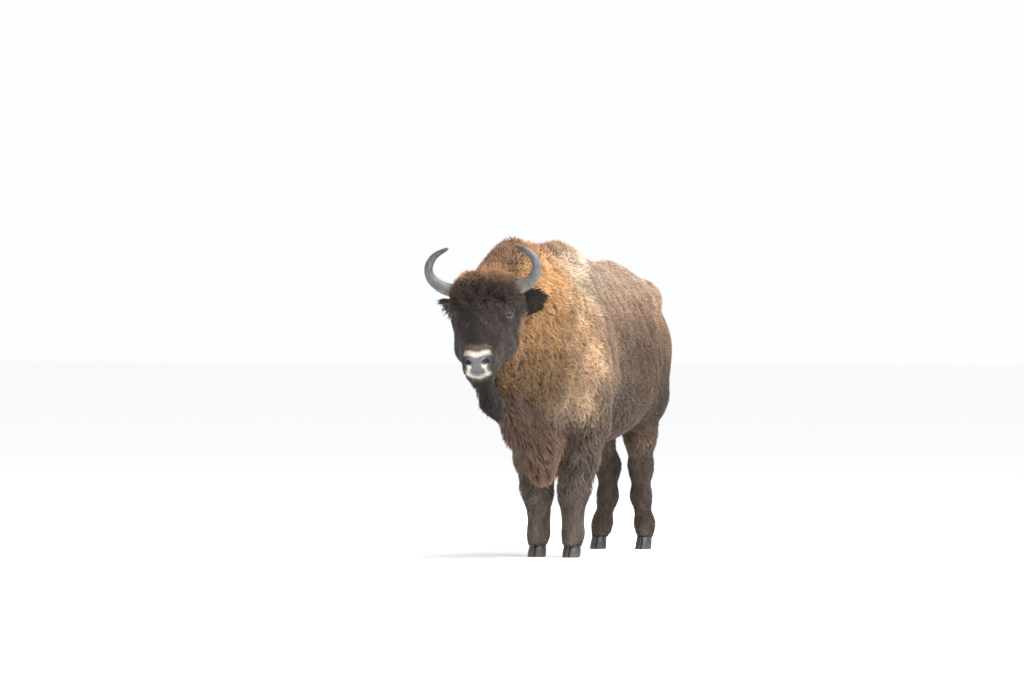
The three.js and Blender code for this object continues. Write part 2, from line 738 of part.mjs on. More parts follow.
/** An ear: a leaf that is broad in the middle, with the hair on it. */
function ear({ root, tip, broad }, grow) {
  const from = fromHead(root);
  const to = fromHead(tip);
  const path = [0, 0.33, 0.66, 1].map((t) => from.clone().lerp(to, t));
  const facing = fromHead(broad, new THREE.Vector3());
  const sizes = { half: EAR_HALF_WIDTHS, thick: EAR_HALF_DEPTHS };
  return sweep({ path, ...sizes, broad: facing, rings: 5, sides: 8, grow });
}

/** An eyeball. */
function eye(sign, grow) {
  const ball = new THREE.IcosahedronGeometry(EYE.radius + grow, 1);
  ball.deleteAttribute('normal');
  ball.deleteAttribute('uv');
  const centre = fromHead([sign * EYE.side, EYE.forward, EYE.up]);
  ball.translate(centre.x, centre.y, centre.z);
  return mergeVertices(ball, 1e-3);
}

/** The tail's skin-covered length. */
function tail(grow) {
  const path = TAIL_PATH.map((p) => new THREE.Vector3(...p));
  return sweep({ path, half: TAIL_HALF_WIDTHS, rings: 8, sides: 7, grow });
}

/** The brush of long hair at the end of the tail. */
function tailTuft() {
  const path = TUFT_PATH.map((p) => new THREE.Vector3(...p));
  return sweep({ path, half: TUFT_HALF_WIDTHS, rings: 5, sides: 7 });
}

/** One claw of a hoof: a half-oval sole that narrows and draws back towards the coronet. */
function claw({ foot, claw: full }, side) {
  const rings = CLAW_LEVELS.map(({ up, length, width }) => {
    const back = CLAW_LEAN * (up / CLAW_HEIGHT - 0.75) - CLAW_SET;
    return Array.from({ length: CLAW_SIDES }, (_, j) => {
      const angle = (2 * Math.PI * j) / CLAW_SIDES;
      const outer = (Math.max(Math.sin(angle), -CLAW_INNER) + CLAW_INNER) / (1 + CLAW_INNER);
      const halfLength = (CLAW_LENGTH * length * (1 - CLAW_INNER * outer)) / 2;
      return new THREE.Vector3(
        foot[0] + side * (CLAW_PARTING / 2 + outer * full * width),
        foot[1] + back - halfLength * Math.cos(angle),
        up,
      );
    });
  });
  return closeRings(rings);
}

/** A dewclaw: a small blunt cone behind the fetlock, pointing down and back. */
function dewclaw(leg, side, grow) {
  const fetlock = leg.chain.find((joint) => joint.name === 'fetlock');
  const x = leg.foot[0] + leg.sign * fetlock.side + side * DEWCLAW.side;
  const y = leg.foot[1] + fetlock.back + fetlock.deep / 2;
  const root = new THREE.Vector3(x, y, DEWCLAW.up);
  const tip = root.clone().add(new THREE.Vector3(side * DEWCLAW.splay, DEWCLAW.reach, -DEWCLAW.fall));
  const path = [0, 0.5, 1].map((t) => root.clone().lerp(tip, t));
  return sweep({ path, half: DEWCLAW.half, rings: 2, sides: 5, grow });
}

const sides = [['left', 1], ['right', -1]];
const INSERTS = [
  ...sides.map(([name, sign]) => ({ name: `horn_${name}`, make: (grow) => horn(sign, grow), look: 'horn' })),
  ...sides.map(([name, sign]) => ({ name: `eye_${name}`, make: (grow) => eye(sign, grow), look: 'eye' })),
  { name: 'ear_left', make: (grow) => ear(EAR_LEFT, grow), look: 'dark' },
  { name: 'ear_right', make: (grow) => ear(EAR_RIGHT, grow), look: 'dark' },
  { name: 'tail', make: tail, look: 'brown' },
  ...LEGS.flatMap((leg) => sides.map(([name, sign]) => ({
    name: `${leg.name}_dewclaw_${name}`,
    make: (grow) => dewclaw(leg, sign, grow),
    look: 'hoof',
  }))),
];

// ---------------------------------------------------------------------------------------------------------
// The model

const wisent = new THREE.Group();

/** Adds one named piece to the model. */
function add(name, geometry, look) {
  const mesh = new THREE.Mesh(geometry, materials[look]);
  mesh.name = name;
  wisent.add(mesh);
}

/** Thins a mesh to about `keep` corners, leaving them where the surface bends most. */
async function thin(geometry, keep) {
  return new SimplifyModifier().modify(geometry, Math.max(geometry.attributes.position.count - keep, 0));
}

/** The largest body of a solid, because a cut can leave a crumb beyond a neighbour. */
function mainBody(solid) {
  return solid.decompose().reduce((main, body) => (body.volume() > main.volume() ? body : main));
}

const sockets = INSERTS.map(({ make }) => toSolid(make(GAP))).reduce((all, one) => all.add(one));
for (const { name, cell, keep, planes, less = [], low, high, look } of FLESH) {
  const whole = await thin(meshField(body, low, high, cell), keep);
  let solid = toSolid(whole).intersect(territory(planes, -GAP / 2));
  for (const other of less) {
    solid = solid.subtract(territory(other, GAP / 2));
  }
  add(name, toGeometry(mainBody(solid.subtract(sockets))), look);
}
for (const { name, make, look } of INSERTS) {
  add(name, make(0), look);
}
add('tail_tuft', tailTuft(), 'dark');
for (const leg of LEGS) {
  for (const [name, sign] of sides) {
    add(`${leg.name}_claw_${name}`, claw(leg, sign), 'hoof');
  }
}

const box = new THREE.Box3().setFromObject(wisent);
const middle = box.getCenter(new THREE.Vector3());
wisent.position.set(-middle.x, -middle.y, 0);

export default wisent;
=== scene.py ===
# %% [markdown]
# # A wisent, life size
# A wisent, or European bison, stands square on its four hooves with its head low and turned a little to
# its left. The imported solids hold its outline, hair included. This lesson dresses them: one skin under
# the whole coat, a head with lids, nostrils and lips, horns with growth rings, cloven hooves, and tens of
# thousands of small locks of hair that follow the way the coat lies.

# %% Tools and the frame
import json
import math

import bpy
import numpy as np
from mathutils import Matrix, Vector

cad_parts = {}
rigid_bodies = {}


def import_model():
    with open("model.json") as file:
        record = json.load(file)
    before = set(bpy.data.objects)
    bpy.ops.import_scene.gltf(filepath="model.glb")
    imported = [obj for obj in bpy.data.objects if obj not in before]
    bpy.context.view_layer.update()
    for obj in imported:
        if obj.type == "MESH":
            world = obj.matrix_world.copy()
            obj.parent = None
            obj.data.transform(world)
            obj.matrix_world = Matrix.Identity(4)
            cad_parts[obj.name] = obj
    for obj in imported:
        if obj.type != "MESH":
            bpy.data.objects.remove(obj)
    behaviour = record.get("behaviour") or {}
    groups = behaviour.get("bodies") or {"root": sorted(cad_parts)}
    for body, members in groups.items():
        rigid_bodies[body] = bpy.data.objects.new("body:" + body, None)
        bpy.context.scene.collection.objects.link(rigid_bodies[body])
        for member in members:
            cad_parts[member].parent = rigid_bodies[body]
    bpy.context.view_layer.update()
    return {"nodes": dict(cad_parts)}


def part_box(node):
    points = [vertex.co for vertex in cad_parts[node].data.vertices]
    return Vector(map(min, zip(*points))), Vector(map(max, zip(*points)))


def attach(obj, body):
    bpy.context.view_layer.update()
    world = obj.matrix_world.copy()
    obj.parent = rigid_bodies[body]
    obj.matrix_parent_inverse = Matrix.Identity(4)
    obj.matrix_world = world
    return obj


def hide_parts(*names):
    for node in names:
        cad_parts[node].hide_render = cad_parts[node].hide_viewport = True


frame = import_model()
print("solids loaded:", len(frame["nodes"]))

# %% [markdown]
# ## One ruler for every piece
# All sizes below are in millimetres from the point on the floor midway between the fore hooves, with +X
# to the animal's left, -Y ahead and +Z up. Two numbers tie that point to the frame: the outer left fore
# claw starts 103 mm to the left of it and 86.8 mm ahead of it, so the claw's box says where the point is.

# %% From the ruler to the frame
CLAW_CORNER = np.array([103.0, -86.8, 0.0])
FEET = np.array(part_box("foreleg_left_claw_left")[0]) * 1000 - CLAW_CORNER


def to_frame(points):
    """Millimetres from the fore feet's middle -> metres in the frame: (point + feet) / 1000."""
    return (points + FEET) / 1000


print("the fore feet's middle, mm:", FEET.round(1))

# %% [markdown]
# ## Smooth forms as fields
# A body has no edges. It could be sculpted by hand, but then its sizes would be lost, or sewn from
# meshes, but then each seam would show. So it is described as a field: a function that says how far a
# point lies outside the form. Fields blend into each other by themselves. These are the same lofts, lumps
# and chains of bones as the solids, so the skin sits inside them by a known depth.

# %% Field helpers


def join(a, b, blend):
    """Smooth union: the nearer of a and b, less (blend - |a - b|)^2 / (4 blend) where they are close."""
    near = np.maximum(blend - np.abs(a - b), 0) / blend
    return np.minimum(a, b) - near * near * blend / 4


def ray_distance(reach, times):
    """Distance along the ray from a form's middle, for an offset that is `times` its size there."""
    return (reach + 1) * (1 - 1 / np.maximum(times, 0.01))


def profile(at, value):
    """A smooth curve through a table: cubic pieces whose slopes average their neighbours'."""
    n = len(at)
    before = np.maximum(np.arange(n) - 1, 0)
    after = np.minimum(np.arange(n) + 1, n - 1)
    slope = (value[after] - value[before]) / (at[after] - at[before])

    def curve(where):
        place = np.clip(where, at[0], at[-1])
        i = np.clip(np.searchsorted(at, place, side="right") - 1, 0, n - 2)
        width = at[i + 1] - at[i]
        u = (place - at[i]) / width
        rounded = u * u * (3 - 2 * u)
        leave = u * (1 - u) ** 2 * width * slope[i]
        arrive = u * u * (u - 1) * width * slope[i + 1]
        return value[i] + (value[i + 1] - value[i]) * rounded + leave + arrive

    return curve


def loft(rows, first_cap, last_cap):
    """Sections |side/half|^fullness + (up/height)^2 = 1 along an axis, with a rounded cap past each end."""
    table = np.array(rows, float)
    middle, top, wide, bottom, half, upper, lower = [profile(table[:, 0], table[:, c]) for c in range(1, 8)]
    first, last = table[0, 0], table[-1, 0]

    def field(p):
        side, along, up = p[..., 0], p[..., 1], p[..., 2]
        dx, dz = side - middle(along), up - wide(along)
        above = dz > 0
        height = np.where(above, top(along) - wide(along), wide(along) - bottom(along))
        fullness = np.where(above, upper(along), lower(along))
        over = np.maximum(np.maximum(along - last, first - along), 0)
        cap = np.where(along > last, last_cap, first_cap)
        total = (np.abs(dx) / half(along)) ** fullness + (dz / height) ** 2 + (over / cap) ** 2
        reach = np.sqrt(dx**2 + dz**2 + over**2)
        return ray_distance(reach, total ** (2 / (fullness + 2)))

    return field


def lump(middle, half, sign=1):
    """An ellipsoid; sign -1 puts it on the right side."""
    centre, size = np.array(middle, float) * [sign, 1, 1], np.array(half, float)

    def field(p):
        d = p - centre
        return ray_distance(np.linalg.norm(d, axis=-1), np.linalg.norm(d / size, axis=-1))

    return field


def chain(joints, blend):
    """Bones between joints (x, y, z, half, deep), each fading from one joint's girth to the next's."""
    table = np.array(joints, float)
    spare = table[:, 3:].max() + 2 * blend
    low, high = table[:, :3].min(0) - spare, table[:, :3].max(0) + spare

    def field(p):
        distance = np.full(p.shape[:-1], 1e4)
        near = ((p > low) & (p < high)).all(-1)
        q = p[near]
        value = np.full(len(q), 1e4)
        for a, b in zip(table[:-1], table[1:]):
            bone = b[:3] - a[:3]
            t = np.clip((q - a[:3]) @ bone / (bone @ bone), 0, 1)
            d = q - a[:3] - t[:, None] * bone
            half, deep = a[3] + t * (b[3] - a[3]), a[4] + t * (b[4] - a[4])
            size = np.stack([half, deep, (half + deep) / 2], axis=1)
            bone_value = ray_distance(np.linalg.norm(d, axis=1), np.linalg.norm(d / size, axis=1))
            value = join(value, bone_value, blend)
        distance[near] = value
        return distance

    return field


print("helpers ready: join, loft, lump, chain")

# %% Easing
def ease(value, start, end):
    """0 before start, 1 after end, and u^2 (3 - 2u) between them; start may be the larger."""
    u = np.clip((value - start) / (end - start), 0, 1)
    return u * u * (3 - 2 * u)


def bump(value, width):
    """A soft ridge: exp(-(value / width)^2)."""
    return np.exp(-((value / width) ** 2))


print("half way up:", float(ease(0.5, 0, 1)))

# %% [markdown]
# ## The forms of the animal
# A wisent is built like a wedge: a high hump over the shoulders, a lighter rump, and slim legs under
# both. The trunk is a loft of sections from the poll to the rump. Shoulder, hip bone and thigh are lumps
# that swell out of it. The legs, the apron of hair under the neck and the tail are chains of bones, which
# bend more easily than a loft does. Each table row is one section or one joint, so a change of build is a
# change of one row.

# %% Trunk, muscles, legs and hanging hair
TRUNK = [  # back, middle, top, widest, bottom, half width, fullness above and below
    (-950, -66, 1560, 1290, 1020, 162, 1.9, 2.0),
    (-800, -66, 1660, 1250, 930, 205, 1.55, 2.0),
    (-640, -60, 1718, 1210, 850, 238, 1.4, 2.0),
    (-450, -47, 1702, 1150, 740, 268, 1.35, 2.1),
    (-250, -26, 1684, 1090, 665, 300, 1.4, 2.2),
    (-50, -5, 1698, 1040, 625, 322, 1.4, 2.2),
    (120, 0, 1700, 1010, 602, 330, 1.35, 2.2),
    (350, 0, 1650, 990, 588, 344, 1.4, 2.1),
    (600, 0, 1594, 985, 588, 360, 1.6, 2.1),
    (800, 0, 1582, 1000, 612, 358, 1.75, 2.1),
    (950, 0, 1596, 1040, 665, 328, 1.7, 2.1),
    (1110, 0, 1572, 1090, 745, 290, 1.75, 2.0),
    (1270, 0, 1510, 1150, 835, 242, 2.0, 2.0),
    (1400, 0, 1425, 1180, 930, 192, 2.0, 2.0),
]
MUSCLES = [  # middle and half sizes: shoulder, hip bone, thigh
    ([195, -60, 1040], [140, 230, 330]),
    ([208, 1045, 1380], [80, 110, 90]),
    ([145, 1180, 1030], [130, 250, 310]),
]
APRON = [  # each joint's place, half width and half depth
    (-66, -920, 985, 70, 85),
    (-54, -790, 900, 92, 120),
    (-22, -540, 690, 96, 130),
    (6, -390, 620, 92, 150),
    (24, -370, 520, 84, 110),
    (30, -335, 445, 40, 60),
    (12, -250, 500, 60, 100),
    (0, -190, 620, 110, 150),
]
FORELEG = [  # side, back, up, half width, half depth; from shoulder, elbow and forearm down to the coronet
    (92, -95, 1000, 125, 190),
    (62, 55, 730, 122, 150),
    (28, 25, 540, 105, 116),
    (12, 8, 405, 82, 88),
    (0, -2, 315, 66, 68),
    (-2, 8, 215, 47, 50),
    (0, 6, 128, 49, 56),
    (0, -16, 78, 48, 60),
]
HINDLEG = [  # hip, stifle, gaskin, hock, cannon, fetlock, coronet
    (20, -110, 1120, 140, 225),
    (52, -175, 850, 118, 165),
    (-8, -60, 640, 82, 128),
    (-36, 48, 455, 57, 80),
    (-34, 44, 290, 48, 54),
    (-8, 26, 140, 45, 54),
    (0, 4, 78, 43, 57),
]
LEGS = [  # name, joints, side of the body, where the foot stands, claw width
    ("foreleg_left", FORELEG, 1, (100, 0), 47),
    ("foreleg_right", FORELEG, -1, (-100, 20), 47),
    ("hindleg_left", HINDLEG, 1, (144, 1240), 42),
    ("hindleg_right", HINDLEG, -1, (-108, 1215), 42),
]
TAIL = [
    (0, 1370, 1388, 42, 42),
    (0, 1458, 1366, 40, 40),
    (0, 1512, 1270, 34, 34),
    (4, 1524, 1060, 27, 27),
    (12, 1506, 860, 24, 24),
]
TAIL_END = [(16, 1494, 700, 24, 24), (18, 1486, 600, 14, 14)]
TUFT = [
    (16, 1496, 759, 27, 27),
    (18, 1490, 690, 44, 44),
    (20, 1484, 600, 50, 50),
    (20, 1480, 520, 38, 38),
    (20, 1478, 440, 9, 9),
]
BLEND = {"muscle": 110, "apron": 70, "leg": 60, "tail": 30, "brow": 30, "beard": 70, "hollow": 18, "head": 55}


def leg_joints(rows, sign, foot):
    """A leg's joints: each row's side, back and up, counted from where the foot stands."""
    return [(foot[0] + sign * side, foot[1] + back, up, half, deep) for side, back, up, half, deep in rows]


trunk_field = loft(TRUNK, 50, 105)
muscle_fields = [lump(middle, half, sign) for middle, half in MUSCLES for sign in (1, -1)]
apron_field = chain(APRON, BLEND["apron"])
tail_field = chain(TAIL + TUFT, BLEND["tail"])
leg_fields = [chain(leg_joints(rows, sign, foot), BLEND["leg"]) for _, rows, sign, foot, _ in LEGS]
print("forms of the body:", 3 + len(muscle_fields) + len(leg_fields))

# %% [markdown]
# ## The head
# The head has two frames of its own about the point midway between the eyes. The level one turns and
# rolls with the head: left, ahead, up. The face one is pitched down as well, so that one axis runs along
# the nose and one stands out of the forehead.

# %% Head frames
EYE_POINT = np.array([-84.0, -1062.0, 1285.0])
HEAD_YAW, HEAD_ROLL, FACE_PITCH = np.radians([6.5, 2.5, 48.0])


def turned(v, axis, angle):
    """v turned about a unit axis: v cos + (axis x v) sin + axis (axis.v)(1 - cos)."""
    cosine = math.cos(angle)
    return v * cosine + np.cross(axis, v) * math.sin(angle) + axis * (axis @ v) * (1 - cosine)


forward = np.array([math.sin(HEAD_YAW), -math.cos(HEAD_YAW), 0.0])
leftward = turned(np.cross([0.0, 0.0, 1.0], forward), forward, HEAD_ROLL)
upward = np.cross(forward, leftward)
along_face = turned(forward, leftward, FACE_PITCH)
out_of_face = np.cross(along_face, leftward)
LEVEL = np.stack([leftward, forward, upward], axis=1)
FACE = np.stack([leftward, along_face, out_of_face], axis=1)


def from_head(points):
    """Left, ahead, up in the head's level frame -> the body's millimetres."""
    return EYE_POINT + np.asarray(points, float) @ LEVEL.T


print("the nose points along", along_face.round(2))

# %% Head, brow, cheek, beard and eye hollow
HEAD = [  # along the nose, then as for the trunk: middle, top, widest, bottom, half width, fullness
    (-205, 14, 168, 0, -150, 178, 3.8, 2.2),
    (-130, 10, 154, -10, -195, 197, 3.8, 2.5),
    (-50, 4, 106, -50, -215, 182, 2.8, 2.8),
    (20, 0, 60, -80, -222, 158, 2.2, 2.8),
    (100, 0, 48, -100, -214, 134, 2.1, 2.8),
    (180, 0, 42, -100, -200, 110, 2.2, 2.8),
    (240, 0, 34, -80, -186, 91, 2.3, 2.5),
    (285, 0, 14, -60, -170, 83, 2.4, 2.3),
]
FACE_LUMPS = [([122, -30, 12], [42, 46, 38]), ([96, 35, -140], [70, 130, 75])]  # brow, cheek
EYE_HOLLOW = ([176, 36, 21], [28, 32, 24])
BEARD = [(0, 40, -318, 62, 92), (30, -6, -430, 54, 86), (66, -26, -525, 24, 36)]
head_field = loft(HEAD, 45, 42)
face_lumps = [lump(middle, half, sign) for middle, half in FACE_LUMPS for sign in (1, -1)]
beard_field = chain(BEARD, BLEND["beard"])
hollow_fields = [lump(*EYE_HOLLOW, sign) for sign in (1, -1)]


def bearded_face(p, beard, blend):
    """The head alone: loft, brows and cheeks, then the beard, less the hollow round each eye."""
    on_face, level = (p - EYE_POINT) @ FACE, (p - EYE_POINT) @ LEVEL
    face = head_field(on_face)
    for field in face_lumps:
        face = join(face, field(on_face), BLEND["brow"])
    face = join(face, beard(level), blend)
    for hollow in hollow_fields:
        face = -join(-face, hollow(level), BLEND["hollow"])
    return face


def face_field(p):
    """The head with its full beard."""
    return bearded_face(p, beard_field, BLEND["beard"])


print("head fields ready")

# %% The whole outline
def wool_edge(z):
    """Where along the body the shoulder's golden wool gives way to the flank, at each height."""
    return -185 + np.where(z > 1180, 0.0018, 0.0008) * (z - 1180) ** 2


def relief(p):
    """Millimetres that the coat lies in: behind the shoulder's wool, before the hip and along the thigh."""
    y, z = p[..., 1], p[..., 2]
    step = 14 * ease(y - wool_edge(z), 20, 130) * ease(y - wool_edge(z), 520, 240) * ease(z, 700, 850)
    hip = 20 * bump(y - 706 - 0.35 * np.maximum(1290 - z, 0), 42) * ease(z, 1400, 1330) * ease(z, 1060, 1180)
    thigh = 15 * bump(y - 850 - 0.10 * (z - 900), 48) * ease(z, 1220, 1080) * ease(z, 640, 780)
    return step + hip + thigh


def joined(p, apron, tail, face):
    """The forms joined in turn, trunk, muscles, apron, legs, tail and head, and sunk by the coat's relief."""
    distance = trunk_field(p)
    for field in muscle_fields:
        distance = join(distance, field(p), BLEND["muscle"])
    distance = join(distance, apron(p), BLEND["apron"])
    for field in leg_fields:
        distance = join(distance, field(p), BLEND["leg"])
    distance = join(distance, tail(p), BLEND["tail"])
    return join(distance, face, BLEND["head"]) + relief(p)


def body_field(p):
    """The whole animal with its coat on: how far a point lies outside the hair."""
    return joined(p, apron_field, tail_field, face_field(p))


print("outline at the hump, mm:", body_field(np.array([[-60.0, -640.0, 1718.0]])).round(1))

# %% [markdown]
# ## The flesh under the hair
# The apron, the beard and the brush of the tail are nearly all hair, so under them the flesh is much
# thinner than the outline. The same chains with smaller girths give the dewlap, the chin and the tail's
# own core, which is simpler than new shapes and can't come out of the hair. The face gets what hair would
# hide in the solids: lids round each eye, a pit for each nostril, and lips.

# %% Lids round the eyes
EYE_CENTRE = np.array([140.0, 3.0, 20.0])
EYE_RADIUS = 22.0
LID = 4.0  # how thick the lids are
GAZE = np.array([0.80, 0.60, 0.02])
GAZE_UP = np.array([0.05, -0.10, 1.0])
ALMOND = {"across": 1.80, "above": 0.60, "below": 0.48}  # how wide the lids' opening is for its depth


def eye_frame(sign):
    """Centre and axes (across, up, out) of one eye, in the body's millimetres."""
    out = LEVEL @ (GAZE / np.linalg.norm(GAZE) * [sign, 1, 1])
    up = LEVEL @ (GAZE_UP * [sign, 1, 1])
    up = up - out * (up @ out)
    up = up / np.linalg.norm(up)
    return from_head(EYE_CENTRE * [sign, 1, 1]), np.stack([np.cross(up, out), up, out], axis=1)


def lids(p, face, sign):
    """A ball a little larger than the eye is joined to the face, and an almond-shaped cone is cut out."""
    centre, axes = eye_frame(sign)
    q = (p - centre) @ axes
    reach = np.linalg.norm(q, axis=-1)
    across, up, out = q[..., 0], q[..., 1], q[..., 2]
    tilt = up - 0.10 * across
    tall = np.where(tilt > 0, ALMOND["above"], ALMOND["below"])
    cone = 0.6 * (np.sqrt((across / ALMOND["across"]) ** 2 + (tilt / tall) ** 2) - out)
    opening = np.maximum(cone, EYE_RADIUS - 5 - reach)
    face = join(face, reach - (EYE_RADIUS + LID), 14)
    return -join(-face, opening, 2.5)


print("eyes at", [eye_frame(s)[0].round(0).tolist() for s in (1, -1)])

# %% The muzzle's folds
MOUTH_FRONT = -51.0  # the mouth's line at the front, below the line of the nose
MOUTH_FALL = 0.34  # how much it falls for each millimetre back
MUZZLE_END = 318  # where the muzzle ends, along the nose
NOSTRIL = {"aside": 45, "out": -6, "along": 288}


def mouth_height(along):
    """How far below the nose the mouth's line runs: level at the front, falling back along the jaw."""
    return MOUTH_FRONT - MOUTH_FALL * np.maximum(MUZZLE_END - along, 0)


def nostril(on_face, sign):
    """Place along and across one nostril as seen from ahead: an oval whose outer end is the higher one."""
    aside = on_face[..., 0] * sign - NOSTRIL["aside"]
    rise = 0.66 * (on_face[..., 2] - NOSTRIL["out"]) - 0.74 * (on_face[..., 1] - NOSTRIL["along"])
    return 0.85 * aside + 0.53 * rise, 0.85 * rise - 0.53 * aside


def muzzle_folds(on_face):
    """Millimetres that the muzzle's skin stands proud: each term is a height times soft ridges and edges."""
    side, along, out = on_face[..., 0], on_face[..., 1], on_face[..., 2]
    front = ease(along, 170, 200)
    proud = np.zeros(side.shape)
    for sign in (1, -1):  # the nostril's pit, the wing above it and the wing outside it
        u, v = nostril(on_face, sign)
        near = ease(along, 225, 250)
        proud -= 22 * np.exp(-((u / 19) ** 4) - (v / 11) ** 4) * near
        proud += 5 * np.exp(-((u / 24) ** 2) - ((v - 20) / 8) ** 2) * near
        proud += 5 * np.exp(-(((u - 30) / 11) ** 2) - (v / 18) ** 2) * near
    # the swelling round the nose and the groove behind it
    proud += 6 * bump(along - 238, 34) * ease(out, -95, -40) - 5 * bump(along - 178, 15) * ease(out, -70, -20)
    # the mouth's slit, the upper lip and the lower one, and the groove over the chin
    below = out - mouth_height(along)
    proud -= 8 * bump(below, 3.6) * front
    proud += 3.5 * bump(below - 11, 8) * front + 7 * bump(below + 19, 13) * front
    proud -= 4 * bump(below + 36, 9) * front
    # the pad between nose and lip, and the fine groove down its middle
    proud += 2.5 * bump(side, 24) * bump(below - 34, 22) * ease(along, 262, 290)
    proud -= 2.2 * bump(side, 2.6) * ease(along, 285, 305)
    return proud


print("mouth height at the corner, mm:", round(float(mouth_height(190.0)), 1))

# %% The flesh as one field
ANKLE = 66.0  # the skin ends here, just inside the hooves


def slimmer(joints, girth):
    """The same chain of bones with its girths multiplied."""
    return [(x, y, z, half * g, deep * g) for (x, y, z, half, deep), g in zip(joints, girth)]


apron_core = chain(slimmer(APRON, [0.6, 0.62, 0.6, 0.75, 0.6, 0.5, 0.75, 0.85]), 60)
beard_core = chain(slimmer(BEARD, [0.68, 0.42, 0.42]), 50)
tail_core = chain(slimmer(TAIL + TAIL_END, [0.75, 0.7, 0.62, 0.55, 0.5, 0.36, 0.5]), 20)


def flesh_field(p):
    """How far a point lies outside the flesh, were the short coat shaved level with the outline."""
    flesh = joined(p, apron_core, tail_core, bearded_face(p, beard_core, 50))
    return np.maximum(flesh, ANKLE - p[..., 2])


print("flesh field ready")

# %% [markdown]
# ## One plan for skin and coat
# A coat changes from place to place, and it never changes at a line. So the plan is painted in layers, as
# on a canvas: each layer has a soft mask, and fades over the ones before it. One row says how thick the
# coat stands there, how long, wide and curly its locks are, how close they grow, which way they are
# combed, and what colour they have at the root and at the tip. The skin reads the thickness and colour,
# the locks read it all, so the two always agree.

# %% Smooth randomness
def waves(p, size, seed, count=7):
    """Three smooth random numbers per point, about -1 to 1: sums of sine waves about `size` mm long."""
    dice = np.random.default_rng(seed)
    ways = dice.normal(size=(3, count, 3))
    pace = dice.uniform(0.7, 1.4, (3, count, 1))
    ways *= 2 * np.pi / size * pace / np.linalg.norm(ways, axis=2, keepdims=True)
    phase = dice.uniform(0, 2 * np.pi, (3, count))
    return np.stack([np.sin(p @ ways[k].T + phase[k]).sum(1) for k in range(3)], axis=1) / math.sqrt(count)


print("waves ready")

# %% Landmarks on the body
EAR_BEDS = ((150, -175, 75), (-140, -172, 75))  # where the ears grow, in the head's level frame
BACK = np.array(TRUNK)[:, 0]


def landmarks(p):
    """Everything the masks need: body axes, head axes, and how far the point is from each special form."""
    on_face, level = (p - EYE_POINT) @ FACE, (p - EYE_POINT) @ LEVEL
    middle, top = [np.interp(p[:, 1], BACK, np.array(TRUNK)[:, column]) for column in (1, 2)]
    lids_at = []
    for centre, axes in map(eye_frame, (1, -1)):
        q = (p - centre) @ axes
        lids_at.append(np.sqrt((q[:, 0] / 25) ** 2 + (q[:, 1] / 15) ** 2) + ease(q[:, 2], 0, -30))
    ears_at = [np.linalg.norm(level - np.array(root), axis=1) for root in EAR_BEDS]
    return {
        "x": p[:, 0] - middle, "y": p[:, 1], "z": p[:, 2], "top": top,
        "side": on_face[:, 0], "along": on_face[:, 1], "out": on_face[:, 2],
        "ahead": level[:, 1], "up": level[:, 2],
        "apron": apron_field(p), "beard": beard_field(level), "tail": tail_field(p),
        "face": face_field(p), "trunk": trunk_field(p),
        "lid": np.minimum(*lids_at), "ear": np.minimum(*ears_at), "drift": waves(p, 240, 31)[:, 0],
    }


print("landmarks ready")

# %% Colours of the coat, each as (root, tip)
SHADES = {
    "flank": ((0.116, 0.068, 0.040), (0.310, 0.190, 0.110)),
    "rump": ((0.176, 0.108, 0.067), (0.490, 0.316, 0.198)),
    "thigh": ((0.078, 0.054, 0.041), (0.212, 0.150, 0.114)),
    "belly": ((0.130, 0.080, 0.050), (0.340, 0.216, 0.136)),
    "gold": ((0.460, 0.300, 0.172), (0.900, 0.655, 0.425)),
    "neck": ((0.172, 0.088, 0.036), (0.500, 0.284, 0.122)),
    "chest": ((0.090, 0.060, 0.043), (0.260, 0.176, 0.124)),
    "crest": ((0.060, 0.028, 0.013), (0.330, 0.165, 0.068)),
    "apron": ((0.085, 0.048, 0.032), (0.290, 0.172, 0.110)),
    "leg": ((0.084, 0.064, 0.052), (0.252, 0.194, 0.158)),
    "face": ((0.014, 0.010, 0.009), (0.064, 0.046, 0.040)),
    "forelock": ((0.015, 0.009, 0.007), (0.084, 0.050, 0.036)),
    "ginger": ((0.064, 0.034, 0.020), (0.740, 0.405, 0.200)),
    "beard": ((0.011, 0.009, 0.008), (0.040, 0.030, 0.027)),
    "ear": ((0.008, 0.006, 0.005), (0.032, 0.023, 0.019)),
    "ring": ((0.075, 0.050, 0.038), (0.240, 0.168, 0.125)),
    "white": ((0.560, 0.505, 0.435), (0.900, 0.865, 0.800)),
    "pad": ((0.092, 0.087, 0.095), (0.092, 0.087, 0.095)),
    # painted shade: near black inside the nostrils and along the mouth's slit
    "hollow": ((0.010, 0.008, 0.009), (0.010, 0.008, 0.009)),
    "lid": ((0.060, 0.046, 0.040), (0.090, 0.070, 0.060)),
}
print("shades:", len(SHADES))

# %% [markdown]
# ## The layers
# The order matters: trunk first, then the woolly front half, legs, hanging hair, and the head last.
# Combing is given as (outwards, back, up) on the body and as (outwards, along the nose, out of the face)
# on the head.

# %% Where each layer lies on the body
def hanging(m):
    """Where the apron's long hair grows: near its bones and below the throat."""
    return ease(m["apron"], 26, -12) * ease(m["z"], 1010, 860)


